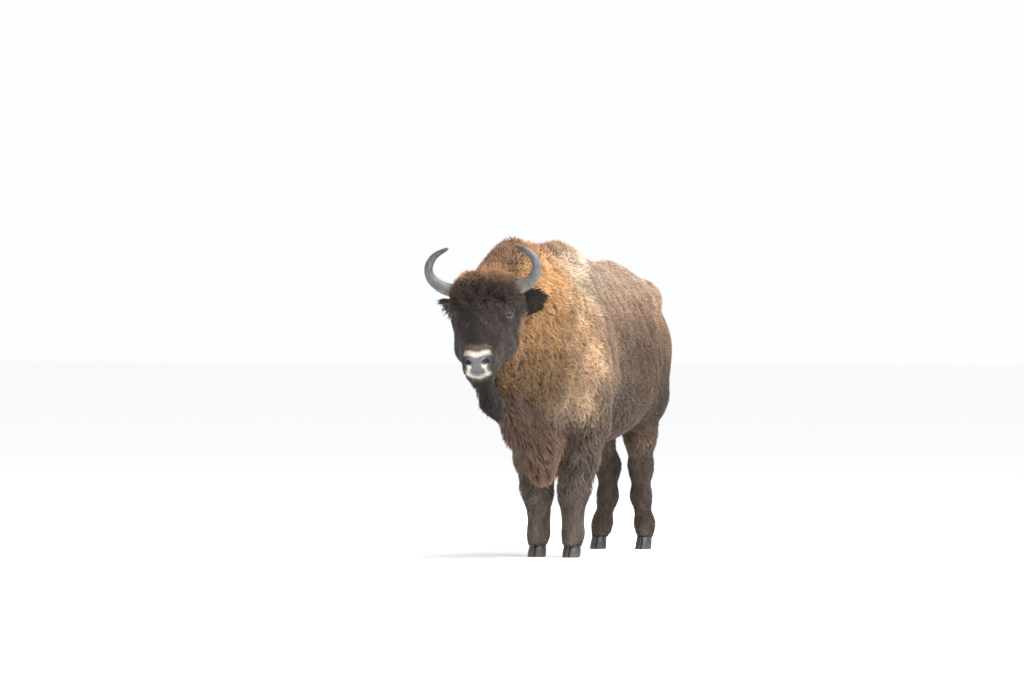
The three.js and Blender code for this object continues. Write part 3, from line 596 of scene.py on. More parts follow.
def body_masks(m):
    """Soft masks of the body's layers, from the landmarks."""
    x, y, z, top, drift = np.abs(m["x"]), m["y"], m["z"], m["top"], m["drift"]
    edge = wool_edge(z) + 45 * drift
    front = ease(y, 620, 420)
    return {
        "rump": ease(y, 800, 1080),
        "thigh": ease(z, 1200, 760) * ease(y, 820, 1010),
        "belly": ease(z, 800 + 30 * drift, 640) * ease(y, 150, 330),
        "gold": ease(y - edge, 110, -150),
        "neck": ease(y + 0.30 * (1300 - z) + 40 * drift, -60, -480),
        "chest": front * ease(z + 50 * drift, 960, 660) * ease(y, -560, -300),
        "crest": ease(x, 120, 45) * ease(z, top - 150, top - 60) * ease(y, 300, -60),
        "apron": hanging(m),
        "foreleg": ease(z, 740, 560) * ease(y, -330, -230) * ease(y, 330, 240) * ease(m["apron"], 0, 30),
        "shin": ease(z, 430, 300) * ease(y, 400, 300) * ease(m["apron"], -10, 20),
        "hock": ease(z, 640, 400) * ease(y, 850, 1000),
        "pastern": ease(z, 160, 100),
        "tail": ease(m["tail"], 14, -4) * ease(y, 1395, 1440) * ease(z, 1420, 1380),
        "brush": ease(m["tail"], 14, -4) * ease(z, 860, 770) * ease(y, 1420, 1450),
    }


print("masks of the body ready")

# %% Where each layer lies on the head
def head_masks(m):
    """Soft masks of the head's layers: `arch` runs over the nose, `below` counts down from the mouth."""
    side, along, out, ahead, up = np.abs(m["side"]), m["along"], m["out"], m["ahead"], m["up"]
    head = ease(ahead, -178, -128) * ease(m["face"] - m["trunk"], 25, -15)
    cap = ease(ahead, -160, -120) * ease(up, 62, 100) * ease(side, 215, 185)
    middle = ease(side, 77, 58)
    front = ease(along, 255, 280)
    below = out - mouth_height(along)
    arch = along - 256 + 0.0055 * side**2 - 7 * bump(side, 26)
    on_face = np.stack([m["side"], m["along"], m["out"]], axis=-1)
    slits = [nostril(on_face, sign) for sign in (1, -1)]
    pit = sum(np.exp(-((u / 20) ** 4) - (v / 12) ** 4) for u, v in slits)
    wing = sum(np.exp(-((u / 23) ** 4) - ((v - 4) / 17) ** 4) for u, v in slits)
    under_nostrils = 1.25 * bump(side - 40, 13) * bump(below - 42, 19) * front
    beside_mouth = bump(side - 46, 7) * bump(below - 12, 15) * front
    lip = ease(side, 70, 60) * bump(below + 26 - 0.005 * side**2, 16) * ease(along, 240, 262)
    over_nose = middle * np.exp(-((arch / 15) ** 4)) * ease(out, -26, -12)
    pad_half = 22 + 0.28 * np.maximum(-5 - out, 0) + 1.6 * np.maximum(out - 2, 0)
    pad = ease(side - pad_half, 5, -3) * ease(along, 264, 276) * ease(below, -3, 2) * ease(arch, 12, 20)
    mouth = bump(below, 4) * ease(side, 60, 50) * front
    return {
        "face": head,
        "brow": head * ease(along, 90, -20) * ease(out, -20, 30),
        "cheek": head * ease(out, -70, -130) * ease(along, 210, 120),
        "temple": head * ease(side, 130, 160) * ease(up, 20, 60) * ease(along, 30, -20),
        "forelock": cap,
        "fringe": cap * ease(along, -75, -35) * ease(out, 40, 70),
        # partly painted shade: round each ear's root the hair is near black, for its own dark hair and for
        # the shadow between ear and head
        "shaded_ear_bed": ease(m["ear"], 118, 70) * (1 - cap),
        "ginger": cap * ease(up + 22 * m["drift"], 150, 226),
        "beard": ease(m["beard"], 26, 2) * ease(up, -318, -352) * ease(ahead, -60, -20),
        "bridge": head * ease(along, 60, 130) * ease(out, -30, 10),
        "ring": 0.8 * head * middle * bump(arch + 34, 22) * ease(out, -34, -14),
        "white": head * np.clip(over_nose + (under_nostrils + beside_mouth) + lip, 0, 1),
        "pad": head * np.clip(pad + wing * ease(along, 235, 255), 0, 1),
        # painted shade: the nostrils' pits and the mouth's slit are painted near black
        "nostril": head * np.clip(pit * ease(along, 225, 245) + mouth, 0, 1),
        "eyelid": np.exp(-(m["lid"] ** 6)),
    }


print("masks ready")

# %% The plan's rows
PLAN = {  # layer: shade, thickness, length, width, curl, spacing, comb
    "flank": ("flank", 14, 26, 5.7, 0.55, 8.4, (0.05, 0.70, -0.70)),
    "rump": ("rump", 12, 26, 5.5, 0.45, 8.4, (0.10, 0.55, -0.82)),
    "thigh": ("thigh", 12, 30, 5.7, 0.40, 8.6, (0.05, 0.35, -0.95)),
    "belly": ("belly", 18, 46, 6.6, 0.40, 9.8, (0.0, 0.55, -0.80)),
    "gold": ("gold", 28, 42, 5.7, 0.90, 8.2, (0.10, 0.50, -0.85)),
    "neck": ("neck", 34, 50, 5.9, 0.75, 8.2, (0.10, 0.30, -0.95)),
    "chest": ("chest", 26, 64, 7.0, 0.50, 9.6, (0.0, 0.25, -1.0)),
    "crest": ("crest", 46, 78, 5.9, 0.60, 7.7, (0.10, 0.10, 0.90)),
    "apron": ("apron", 18, 100, 7.0, 0.22, 9.1, (0.35, 0.50, -0.85)),
    "foreleg": ("leg", 24, 66, 6.6, 0.40, 9.1, (0.0, 0.20, -1.0)),
    "shin": ("leg", 6, 18, 4.6, 0.20, 7.0, (0.0, 0.12, -1.0)),
    "hock": ("thigh", 7, 22, 4.8, 0.25, 7.2, (0.0, 0.15, -1.0)),
    "pastern": ("leg", 5, 20, 5.3, 0.25, 7.7, (0.2, -0.1, -1.0)),
    "tail": ("rump", 10, 45, 5.6, 0.25, 5.8, (0.0, 0.05, -1.0)),
    "brush": ("chest", 10, 150, 5.5, 0.30, 3.4, (0.0, 0.0, -1.0)),
    "face": ("face", 8, 22, 3.6, 0.40, 4.2, (0.75, -0.20, -0.55)),
    "brow": ("face", 13, 32, 3.8, 0.85, 4.3, (0.45, 0.15, 0.60)),
    "cheek": ("face", 12, 34, 4.2, 0.45, 4.8, (0.25, -0.75, -0.55)),
    "temple": ("face", 12, 32, 4.2, 0.50, 4.8, (0.60, -0.70, -0.10)),
    "forelock": ("forelock", 36, 60, 4.8, 0.85, 4.9, (0.35, -0.75, 0.35)),
    "fringe": ("forelock", 24, 46, 4.4, 0.90, 4.8, (0.40, 0.40, 0.55)),
    # near black round the ears: partly their own dark hair, partly painted shade between ear and head
    "shaded_ear_bed": ("beard", 14, 40, 5.2, 0.50, 6.0, (0.80, -0.50, 0.10)),
    "ginger": ("ginger", 40, 78, 4.8, 0.75, 4.9, (0.25, -0.95, 0.40)),
    "beard": ("beard", 12, 120, 6.0, 0.35, 5.2, (0.10, 0.35, -0.95)),
    "bridge": ("face", 5, 16, 3.2, 0.45, 3.9, (0.55, 0.55, -0.30)),
    "ring": ("ring", 4, 12, 2.4, 0.30, 3.2, (0.40, -0.60, -0.30)),
    "white": ("white", 3.0, 10, 2.2, 0.25, 3.0, (0.30, 0.40, -0.60)),
    "pad": ("pad", 0.6, 0, 0, 0.0, 90, (0.0, 0.0, -1.0)),
    # painted shade in the nostrils and the mouth's slit
    "nostril": ("hollow", 0.6, 0, 0, 0.0, 90, (0.0, 0.0, -1.0)),
    "eyelid": ("lid", 0.8, 4, 1.6, 0.10, 4.2, (0.6, -0.4, -0.3)),
}
HEAD_LAYERS = list(PLAN)[list(PLAN).index("face"):]  # these are combed along the nose


def plan_row(name, sign):
    """One layer as numbers, its comb turned from (outwards, ., .) to the body's axes on each point's side."""
    shade, thick, length, width, curl, spacing, comb = PLAN[name]
    direction = np.array(comb) * np.stack([sign, np.ones_like(sign), np.ones_like(sign)], axis=1)
    if name in HEAD_LAYERS:
        direction = direction @ FACE.T
    direction = direction / np.linalg.norm(direction, axis=1, keepdims=True)
    numbers = [thick, length, width, curl, spacing, *SHADES[shade][0], *SHADES[shade][1]]
    return np.concatenate([np.tile(numbers, (len(sign), 1)), direction], axis=1)


print("plan:", len(PLAN), "layers,", len(HEAD_LAYERS), "of them on the head")

# %% Lighter and darker hair, and painted light from above
def tone(m):
    """How light and warm the coat is beside its layer's shade, painted light from above included: factors for
    root colour, then tip colour.
    """
    y, z = m["y"], m["z"]
    p = np.stack([m["x"], y, z], axis=1)
    streak, mottle = waves(p * [1, 1, 0.3], 75, 41)[:, 0], waves(p, 130, 42)[:, 0]
    light = 1 + 0.13 * streak + 0.09 * mottle
    # the rear, the neck and the lower front half are lightest on top and darkest below: partly the coat's own
    # darker underside, partly painted light from above
    rear = ease(y, 0, 300)
    light = light * (1 - 0.60 * rear * ease(z, 1400, 1060)) * (1 + 0.40 * rear * ease(z, 1250, 1460))
    neck = ease(y, -200, -480) * ease(m["face"] - m["trunk"], -15, 25)
    light = light * (1 - 0.40 * neck * ease(z, 1300, 1020)) * (1 + 0.55 * neck * ease(z, 1320, 1500))
    light = light * (1 - 0.36 * ease(y, 500, 200) * ease(z, 1120, 800))
    # the apron is lighter towards its tip, and its strands differ
    light = light * (1 + 0.42 * hanging(m) * ease(z, 720, 520))
    strands = waves(p * [1, 1, 0.22], 30, 43)[:, 0]
    light = light * (1 + 0.22 * strands * ease(z, 900, 780))
    lit = np.clip(light, 0.35, 1.5)[:, None] * np.ones((len(p), 6))
    # the hump's top is paler and cooler, a painted highlight of the light from above, and the crest is
    # darkest where it meets the head
    painted_top_highlight = ease(z, 1200, 1550)[:, None] * np.array([-0.04, 0.12, 0.36]) * ease(y, -450, -50)[:, None]
    front = ease(y, -420, -600) * ease(np.abs(m["x"]), 170, 60) * ease(z, 1330, 1420)
    return lit * (1 - 0.55 * front)[:, None] * (1 + np.tile(painted_top_highlight, 2))


print("tones ready")

# %% The plan at any point
THICK, LENGTH = 0, 1  # columns of the plan's numbers
ROOT_COLOUR, TIP_COLOUR, BOTH_COLOURS, COMB = slice(5, 8), slice(8, 11), slice(5, 11), slice(11, 14)


def coat_plan(p):
    """Thickness, length, width, curl, spacing, root colour, tip colour and comb at each point."""
    m = landmarks(p)
    sign = np.clip(m["x"] / 60, -1, 1)
    face_sign = np.clip(m["side"] / 40, -1, 1)
    plan = plan_row("flank", sign)
    for name, mask in {**body_masks(m), **head_masks(m)}.items():
        row = plan_row(name, face_sign if name in HEAD_LAYERS else sign)
        plan = plan + np.clip(mask, 0, 1)[:, None] * (row - plan)
    for side in (1, -1):  # round each eye the hair is thin, short and combed away from it
        away = p - eye_frame(side)[0]
        reach = np.linalg.norm(away, axis=1, keepdims=True)
        near = ease(reach, 66, 26)
        plan[:, COMB] += near * (away / np.maximum(reach, 1) - plan[:, COMB])
        plan[:, THICK] *= 1 - 0.72 * near[:, 0]
        plan[:, LENGTH] *= 1 - 0.55 * near[:, 0]
    plan[:, BOTH_COLOURS] *= tone(m)
    return {
        "thick": plan[:, THICK], "length": plan[:, LENGTH], "width": plan[:, 2], "curl": plan[:, 3],
        "spacing": plan[:, 4], "root": plan[:, ROOT_COLOUR], "tip": plan[:, TIP_COLOUR],
        "comb": plan[:, COMB],
    }


print("the plan gives", ", ".join(coat_plan(from_head(np.eye(3) * 100))))

# %% [markdown]
# ## The skin
# A wisent's skin is seen only on the nose, the lids and the lips, but it carries the whole coat.
# Sculpting it would be slow work, and joining ready meshes leaves seams, so it is taken from the field.
# The field is cut into cells of 15 mm. Every cell that the surface passes through gets one corner, and
# every grid edge that it crosses gets a square: surface nets. The head is then divided twice more, and
# each corner is moved onto the field, less the coat's thickness there, so that the skin lies just under
# the hair.

# %% Surface nets
def surface_net(field, low, high, cell):
    """Corners are the mean of the crossings in a cell; a square joins the four cells round a crossed edge."""
    count = np.ceil((high - low) / cell).astype(int) + 1
    axes = [low[a] + cell * np.arange(count[a]) for a in range(3)]
    value = np.empty(count)
    for i, x in enumerate(axes[0]):
        slab = np.stack(np.meshgrid([x], axes[1], axes[2], indexing="ij"), axis=-1)
        value[i] = field(slab.reshape(-1, 3)).reshape(count[1:])
    inside = value < 0
    offsets = np.array([(c & 1, c >> 1 & 1, c >> 2 & 1) for c in range(8)])
    cells = count - 1
    spans = [tuple(slice(o[a], o[a] + cells[a]) for a in range(3)) for o in offsets]
    full = sum(inside[span].astype(int) for span in spans)
    active = np.argwhere((full > 0) & (full < 8))
    number = np.full(cells, -1)
    number[tuple(active.T)] = np.arange(len(active))
    total, hits = np.zeros((len(active), 3)), np.zeros((len(active), 1))
    for c in range(8):
        for bit, step in ((1, (1, 0, 0)), (2, (0, 1, 0)), (4, (0, 0, 1))):
            if c & bit:
                continue
            start = active + offsets[c]
            a, b = value[tuple(start.T)], value[tuple((start + step).T)]
            crossed = (a < 0) != (b < 0)
            t = np.where(crossed, a / np.where(crossed, a - b, 1), 0)
            total += crossed[:, None] * (start + t[:, None] * np.array(step))
            hits += crossed[:, None]
    corners = low + cell * total / hits
    squares = []
    for axis in range(3):
        step, u, v = np.roll([1, 0, 0], axis), np.roll([0, 1, 0], axis), np.roll([0, 0, 1], axis)
        near = inside[tuple(slice(1, count[a] - 1) for a in range(3))]
        far = inside[tuple(slice(1 + step[a], count[a] - 1 + step[a]) for a in range(3))]
        at = np.argwhere(near != far) + 1
        four = [number[tuple((at - a * u - b * v).T)] for a, b in ((0, 0), (1, 0), (1, 1), (0, 1))]
        ring = np.stack(four, axis=1)
        ring[~inside[tuple(at.T)]] = ring[~inside[tuple(at.T)]][:, ::-1]
        squares.append(ring)
    return corners, np.concatenate(squares)


def slope_of(field, p):
    """The field's slope by central differences over 1 mm: (f(p + 1) - f(p - 1)) / 2 along each axis."""
    return np.stack([field(p + d) - field(p - d) for d in np.eye(3)], axis=1) / 2


def settle(field, p, rounds, reach, least=0.05):
    """Moves points onto the surface, each round by value / slope^2 along the slope and at most `reach`."""
    for _ in range(rounds):
        slope = slope_of(field, p)
        steep = np.maximum((slope**2).sum(1), least)
        p = p - np.clip(field(p) / steep, -reach, reach)[:, None] * slope
    return p


CELL = 15.0
low = np.array([-420.0, -1420.0, ANKLE - 2 * CELL])
high = np.array([420.0, 1580.0, 1770.0])
corners, squares = surface_net(flesh_field, low, high, CELL)
print("coarse skin:", len(corners), "corners,", len(squares), "squares")

# %% Finer squares on the head
def divide(corners, squares, chosen):
    """Splits chosen squares in four. A neighbour with a split edge becomes a fan of triangles."""
    edges = np.sort(np.stack([squares, np.roll(squares, -1, axis=1)], axis=2), axis=2)
    pairs, number = np.unique(edges.reshape(-1, 2), axis=0, return_inverse=True)
    number = number.reshape(-1, 4)
    split = np.zeros(len(pairs), bool)
    split[number[chosen]] = True
    middle = np.full(len(pairs), -1)
    middle[split] = len(corners) + np.arange(split.sum())
    beside = ~chosen & split[number].any(1)
    changed = np.flatnonzero(chosen | beside)
    hub = np.full(len(squares), -1)
    hub[changed] = len(corners) + split.sum() + np.arange(len(changed))
    corners = np.concatenate([corners, corners[pairs[split]].mean(1), corners[squares[changed]].mean(1)])
    quarter = []
    fan = []
    for k in range(4):
        a, b = squares[:, k], squares[:, (k + 1) % 4]
        m, m_before = middle[number[:, k]], middle[number[:, k - 1]]
        quarter.append(np.stack([a, m, hub, m_before], axis=1)[chosen])
        whole, halved = beside & (m < 0), beside & (m >= 0)
        fan.append(np.stack([a, b, hub], axis=1)[whole])
        fan += [np.stack([start, end, hub], axis=1)[halved] for start, end in ((a, m), (m, b))]
    kept = squares[~chosen & ~beside]
    return corners, np.concatenate([kept, *quarter]), np.concatenate(fan)


def head_place(p):
    """Left, ahead, up in the head's level frame, for squares' middles."""
    return ((p - EYE_POINT) @ LEVEL).T


_, ahead, up = head_place(corners[squares].mean(1))
on_head = (ahead > -70) & (up > -345)  # before the ears and above the beard
corners, squares, triangles = divide(corners, squares, on_head)
corners = settle(flesh_field, corners, 1, 6)
left, ahead, up = head_place(corners[squares].mean(1))
on_muzzle = (ahead > 105) & (up < -95) & (up > -330)
near_eye = np.linalg.norm(np.stack([np.abs(left) - 150, ahead - 14, up - 15]), axis=0) < 52  # a ball round it
corners, squares, more = divide(corners, squares, (on_muzzle | near_eye) & (ahead > -40))
triangles = np.concatenate([triangles, more, squares[:, :3], squares[:, [0, 2, 3]]])
print("skin:", len(corners), "corners,", len(triangles), "triangles")

# %% Down to the skin
def skin_field(p, thick):
    """The flesh less the coat's thickness, with the muzzle's folds and the lids."""
    on_face = (p - EYE_POINT) @ FACE
    distance = flesh_field(p) + thick - muzzle_folds(on_face) * ease(on_face[:, 1], 165, 190)
    for sign in (1, -1):
        near = np.linalg.norm(p - eye_frame(sign)[0], axis=1) < 70
        distance[near] = lids(p[near], distance[near], sign)
    return distance


for rounds, reach in ((3, 22), (2, 6)):  # in strides of at most 22 mm, then of at most 6 mm
    thick = coat_plan(corners)["thick"]
    corners = settle(lambda p: skin_field(p, thick), corners, rounds, reach, 0.2)
print("skin stands from", corners.min(0).round(0), "to", corners.max(0).round(0))

# %% A mesh from arrays
def new_piece(name, points, faces, uv=None):
    """Makes a smooth object from millimetre points, triangles and, if given, each corner's OFBake place."""
    mesh = bpy.data.meshes.new(name)
    count, sides = faces.shape
    mesh.vertices.add(len(points))
    mesh.vertices.foreach_set("co", to_frame(points).astype(np.float32).ravel())
    mesh.loops.add(count * sides)
    mesh.loops.foreach_set("vertex_index", faces.astype(np.int32).ravel())
    mesh.polygons.add(count)
    mesh.polygons.foreach_set("loop_start", np.arange(0, count * sides, sides, dtype=np.int32))
    mesh.polygons.foreach_set("use_smooth", np.full(count, True))
    mesh.update(calc_edges=True)
    if uv is not None:
        layer = mesh.uv_layers.new(name="OFBake")
        layer.data.foreach_set("uv", uv[faces.ravel()].astype(np.float32).ravel())
    piece = bpy.data.objects.new(name, mesh)
    bpy.context.scene.collection.objects.link(piece)
    return piece


def paint(piece, name, values):
    """Stores one colour or one number for each vertex."""
    values = np.asarray(values, np.float32)
    if values.ndim == 1:
        piece.data.attributes.new(name, "FLOAT", "POINT").data.foreach_set("value", values)
        return
    solid = np.concatenate([values, np.ones((len(values), 1), np.float32)], axis=1)
    piece.data.attributes.new(name, "FLOAT_COLOR", "POINT").data.foreach_set("color", solid.ravel())


SPARSE = PLAN["pad"][5]  # the spacing of the bare pad and nostrils, where it marks how wet the skin is

skin = new_piece("skin", corners, triangles)
skin_plan = coat_plan(corners)
bare = ease(skin_plan["length"], 14, 4)[:, None]
paint(skin, "coat", skin_plan["root"] + (skin_plan["tip"] - skin_plan["root"]) * (0.25 + 0.6 * bare))
paint(skin, "wet", skin_plan["spacing"] / SPARSE)
print("skin made:", len(skin.data.polygons), "triangles")

# %% Unwrapping the skin
bpy.context.view_layer.objects.active = skin
skin.select_set(True)
skin.data.uv_layers.new(name="OFBake")
bpy.ops.object.mode_set(mode="EDIT")
bpy.ops.mesh.select_all(action="SELECT")
bpy.ops.uv.smart_project(angle_limit=math.radians(66), island_margin=0.002)
bpy.ops.object.mode_set(mode="OBJECT")
skin_uv = np.empty(len(skin.data.loops) * 2, np.float32)
skin.data.uv_layers["OFBake"].data.foreach_get("uv", skin_uv)
skin_uv = skin_uv.reshape(-1, 3, 2)
print("unwrapped:", skin_uv.min().round(3), "to", skin_uv.max().round(3))

# %% [markdown]
# ## Locks of hair
# Hair on a real animal clings together in locks. Blender's own hair curves would be quicker to comb, but
# they are not a mesh, so the model would lose them when it leaves Blender. Each lock here is a thin
# three-sided spine of rings that ends in a point. It leaves the skin at its root, leans over in the
# direction of the comb, waves a little, and reaches the outline that the solids give: the shorter the
# lock and the thicker the coat, the more it stands up. All the locks of a region are worked out together
# as arrays of shape (locks, rings, 3).

# %% Roots spread over a surface
def unit(vectors):
    """Vectors divided by their own lengths."""
    return vectors / np.maximum(np.linalg.norm(vectors, axis=-1, keepdims=True), 1e-9)


def scatter(points, faces, spacing, dice):
    """Roots spread over triangles, about area / spacing^2 on each: face numbers and corner weights."""
    a, b, c = points[faces[:, 0]], points[faces[:, 1]], points[faces[:, 2]]
    area = np.linalg.norm(np.cross(b - a, c - a), axis=1) / 2
    wanted = area / spacing[faces].mean(1) ** 2
    number = np.floor(wanted + dice.random(len(faces))).astype(int)
    face = np.repeat(np.arange(len(faces)), number)
    u, v = dice.random((2, len(face)))
    fold = u + v > 1
    u, v = np.where(fold, 1 - u, u), np.where(fold, 1 - v, v)
    return face, np.stack([1 - u - v, u, v], axis=1)


def at_roots(weights, values):
    """A corner value carried to each root: the mean of its triangle's three, weighted."""
    return np.einsum("nk,nkc->nc", weights, values)


print("scatter ready")

# %% The spine of a lock
def spines(root, normal, comb, length, lift, curl, rings, dice):
    """Middles (locks, rings + 1, 3) and headings: each lock starts steep, lies down, and waves sideways."""
    flat = comb - normal * (comb * normal).sum(1, keepdims=True)
    narrow, wide = (0.20 + 0.55 * curl)[:, None], (0.25 * curl + 0.08)[:, None]
    swirl = waves(root, 42, 11) * narrow + waves(root, 150, 12) * wide
    flat = flat + swirl + dice.normal(size=root.shape) * 0.13
    flat = unit(flat - normal * (flat * normal).sum(1, keepdims=True))
    across = np.cross(normal, flat)
    steps = (np.arange(rings) + 0.5) / rings
    angle = lift[:, None] * (1.55 - 1.1 * steps)
    phase = dice.uniform(0, 2 * np.pi, (len(root), 1))
    wave = (curl * 0.9)[:, None] * np.sin(2 * np.pi * (0.9 + length[:, None] / 90) * steps + phase)
    heading = np.cos(angle)[..., None] * flat[:, None] + np.sin(angle)[..., None] * normal[:, None]
    heading = heading + wave[..., None] * across[:, None]
    sag = (np.clip(length - 90, 0, 100) / 100)[:, None, None] * steps[None, :, None]
    heading = heading * (1 - 0.75 * sag) + sag * np.array([0.0, 0.0, -0.9])
    heading = unit(heading)
    stride = heading * (length / rings)[:, None, None]
    middle = np.concatenate([np.zeros((len(root), 1, 3)), np.cumsum(stride, axis=1)], axis=1) + root[:, None]
    return middle, np.concatenate([heading, heading[:, -1:]], axis=1), across


def held_back(middle, room, rounds=4):
    """Shrinks each lock about its root until its tip stands no more than `room` mm outside the outline.

    A root that is itself outside, as on a lid or a lip, gets room for as much again.
    """
    root = middle[:, :1]
    room = room + np.maximum(body_field(root[:, 0]) + 4, 0) * 1.6
    for _ in range(rounds):
        over = body_field(middle[:, -1]) - room
        reach = np.linalg.norm(middle[:, -1] - root[:, 0], axis=1)
        keep = np.clip(1 - np.maximum(over, 0) / np.maximum(reach, 1), 0.55, 1)
        middle = root + (middle - root) * keep[:, None, None]
    return middle


print("spines ready")

# %% Growing locks
RINGS = {"short": 2, "medium": 3, "long": 5}
MEDIUM, LONG = 50, 85  # from these lengths on, in mm, a lock is medium or long
SIDES = 2 * np.pi * np.arange(3) / 3
PATCH = 0.003  # each lock's own patch of the OFBake map
FLATNESS = 0.62  # a lock's depth for its width
TRIM = -0.3  # long locks stay this share of their room inside the outline


def lock_faces(locks, rings):
    """Triangles of all locks: two for each side between rings, and three that meet at the tip."""
    one = []
    for r in range(rings - 1):
        for k in range(3):
            a, b = 3 * r + k, 3 * r + (k + 1) % 3
            one += [(a, b, b + 3), (a, b + 3, a + 3)]
    one += [(3 * (rings - 1) + k, 3 * (rings - 1) + (k + 1) % 3, 3 * rings) for k in range(3)]
    return (np.arange(locks)[:, None, None] * (3 * rings + 1) + np.array(one)[None]).reshape(-1, 3)


def grow(root, normal, plan, cover, uv, kind, dice, room=None):
    """Locks as one mesh: points, triangles, colours and OFBake places. `cover` is the coat's depth there."""
    rings = RINGS[kind]
    size = np.clip(dice.normal(1.0, 0.17, len(root)), 0.6, 1.35)
    length = plan["length"] * size
    sunk = np.minimum(2.0, 0.06 * length)
    rise = sunk + np.maximum(cover * dice.uniform(0.75, 1.12, len(root)), 0.22 * length)
    lift = np.arcsin(np.clip(rise / np.maximum(length, 1), 0.06, 0.95))
    start = root - normal * sunk[:, None]
    middle, heading, across = spines(start, normal, plan["comb"], length, lift, plan["curl"], rings, dice)
    if room is not None:
        share = room * np.where(length > LONG, TRIM, 1.0)
        middle = held_back(middle, share * length * dice.uniform(0, 1, len(root)))
    side = unit(across[:, None] - heading * (across[:, None] * heading).sum(2, keepdims=True))
    back = np.cross(heading, side)
    place = np.arange(rings) / rings
    girth = 0.5 * plan["width"][:, None] * (0.72 + 0.75 * place - 1.15 * place**2)[None]
    girth = girth * dice.uniform(0.8, 1.2, (len(root), 1))
    turn = (SIDES + dice.uniform(0, 2 * np.pi, (len(root), 1)))[:, None, :, None]
    ring = side[:, :rings, None] * np.cos(turn) + FLATNESS * back[:, :rings, None] * np.sin(turn)
    ring = middle[:, :rings, None] + ring * girth[:, :, None, None]
    points = np.concatenate([ring.reshape(len(root), rings * 3, 3), middle[:, -1:]], axis=1)
    t = np.concatenate([np.repeat(place, 3), [1.0]])
    shade = np.clip(1 + 0.16 * dice.normal(size=len(root)) + 0.16 * waves(root, 70, 21)[:, 0], 0.55, 1.6)
    fade = (t**0.8)[None, :, None]
    colour = (plan["root"][:, None] * (1 - fade) + plan["tip"][:, None] * fade) * shade[:, None, None]
    local = np.concatenate([np.tile([-0.5, 0.0, 0.5], rings), [0.0]])
    patch = np.stack([uv[:, :1] + PATCH * local, uv[:, 1:] + PATCH * (t - 0.5)], axis=2)
    faces = lock_faces(len(root), rings)
    return points.reshape(-1, 3), faces, colour.reshape(-1, 3), np.clip(patch.reshape(-1, 2), 0, 1)


print("triangles in a lock:", {kind: 6 * (rings - 1) + 3 for kind, rings in RINGS.items()})

# %% Roots on the skin
def corner_normals(points, faces):
    """Each corner's normal: the mean of its triangles' cross products."""
    cross = np.cross(points[faces[:, 1]] - points[faces[:, 0]], points[faces[:, 2]] - points[faces[:, 0]])
    corner = faces.ravel()
    total = [np.bincount(corner, np.repeat(cross[:, a], 3), len(points)) for a in range(3)]
    return unit(np.stack(total, axis=1))


BALD = 3  # hair shorter than this many millimetres isn't grown
FAR_APART = 400.0  # the spacing there
skin_normals = corner_normals(corners, triangles)
spacing = np.where(skin_plan["length"] < BALD, FAR_APART, skin_plan["spacing"])
face_of, weights = scatter(corners, triangles, spacing, np.random.default_rng(5))
roots = at_roots(weights, corners[triangles[face_of]])
root_normals = unit(at_roots(weights, skin_normals[triangles[face_of]]))
root_uv = at_roots(weights, skin_uv[face_of])
root_plan = coat_plan(roots)
root_cover = np.maximum(-body_field(roots), 0.5)
print("roots:", len(roots), " cover, mm:", np.percentile(root_cover, [5, 50, 95]).round(1))

# %% Which piece each root belongs to
marks = landmarks(roots)
on_layer = head_masks(marks)
kind = np.where(root_plan["length"] < LONG, "medium", "long")
kind = np.where(root_plan["length"] < MEDIUM, "short", kind)
is_left, y, z = marks["x"] > 0, roots[:, 1], roots[:, 2]
REGIONS = {  # the first that holds is taken
    "beard": on_layer["beard"] > 0.5,
    "forelock": on_layer["forelock"] > 0.5,
    "face_left": (on_layer["face"] > 0.5) & (marks["side"] > 0),
    "face_right": on_layer["face"] > 0.5,
    "apron": (marks["apron"] < 12) & (z < 960),
    "tail": (y > 1395) & (marks["tail"] < 20),
    "forelegs": (z < 640) & (y < 600),
    "hindlegs": (z < 860) & (y > 850),
    "neck_left": (y < -330) & is_left,
    "neck_right": y < -330,
    "shoulder_left": (y < 420) & is_left,
    "shoulder_right": y < 420,
    "flank_left": is_left,
}
piece_of = np.select(list(REGIONS.values()), list(REGIONS), "flank_right")
print("coat pieces:", sorted(set(piece_of)))

# %% The coat's pieces
ROOM = 0.28  # how much of its length a tip may stand outside the outline, at most
coats = {}
for number, part in enumerate(sorted(set(piece_of))):
    batches, start = [], 0
    for length_kind in RINGS:
        chosen = (piece_of == part) & (kind == length_kind) & (root_plan["length"] > BALD)
        if not chosen.any():
            continue
        here = (roots[chosen], root_normals[chosen], {key: value[chosen] for key, value in root_plan.items()})
        dice = np.random.default_rng(100 + 10 * number + RINGS[length_kind])
        points, faces, colour, uv = grow(*here, root_cover[chosen], root_uv[chosen], length_kind, dice, ROOM)
        batches.append((points, faces + start, colour, uv))
        start += len(points)
    points, faces, colour, uv = (np.concatenate(column) for column in zip(*batches))
    coats[part] = new_piece("coat_" + part, points, faces, uv)
    paint(coats[part], "coat", colour)
    print(f"coat_{part}: {len(faces)} triangles")

# %% [markdown]
# ## Horns
# A horn grows from its root, a little each year, so it carries rings where it was slow. The rings are
# strong near the head and worn away towards the smooth dark tip. A bevelled curve would make the bend,
# but not the rings. So the horn is a tube carried along a curve that leaves the side of the head, turns
# up and comes back in: a profile along a path, with the rings added to its radius.

# %% A tube along a path
def smooth_path(points, samples):
    """A curve through the points: `profile` on each axis over the length of the chords so far."""
    points = np.asarray(points, float)
    so_far = np.concatenate([[0.0], np.cumsum(np.linalg.norm(np.diff(points, axis=0), axis=1))])
    where = np.linspace(0, so_far[-1], samples)
    return np.stack([profile(so_far, points[:, a])(where) for a in range(3)], axis=1), where / so_far[-1]


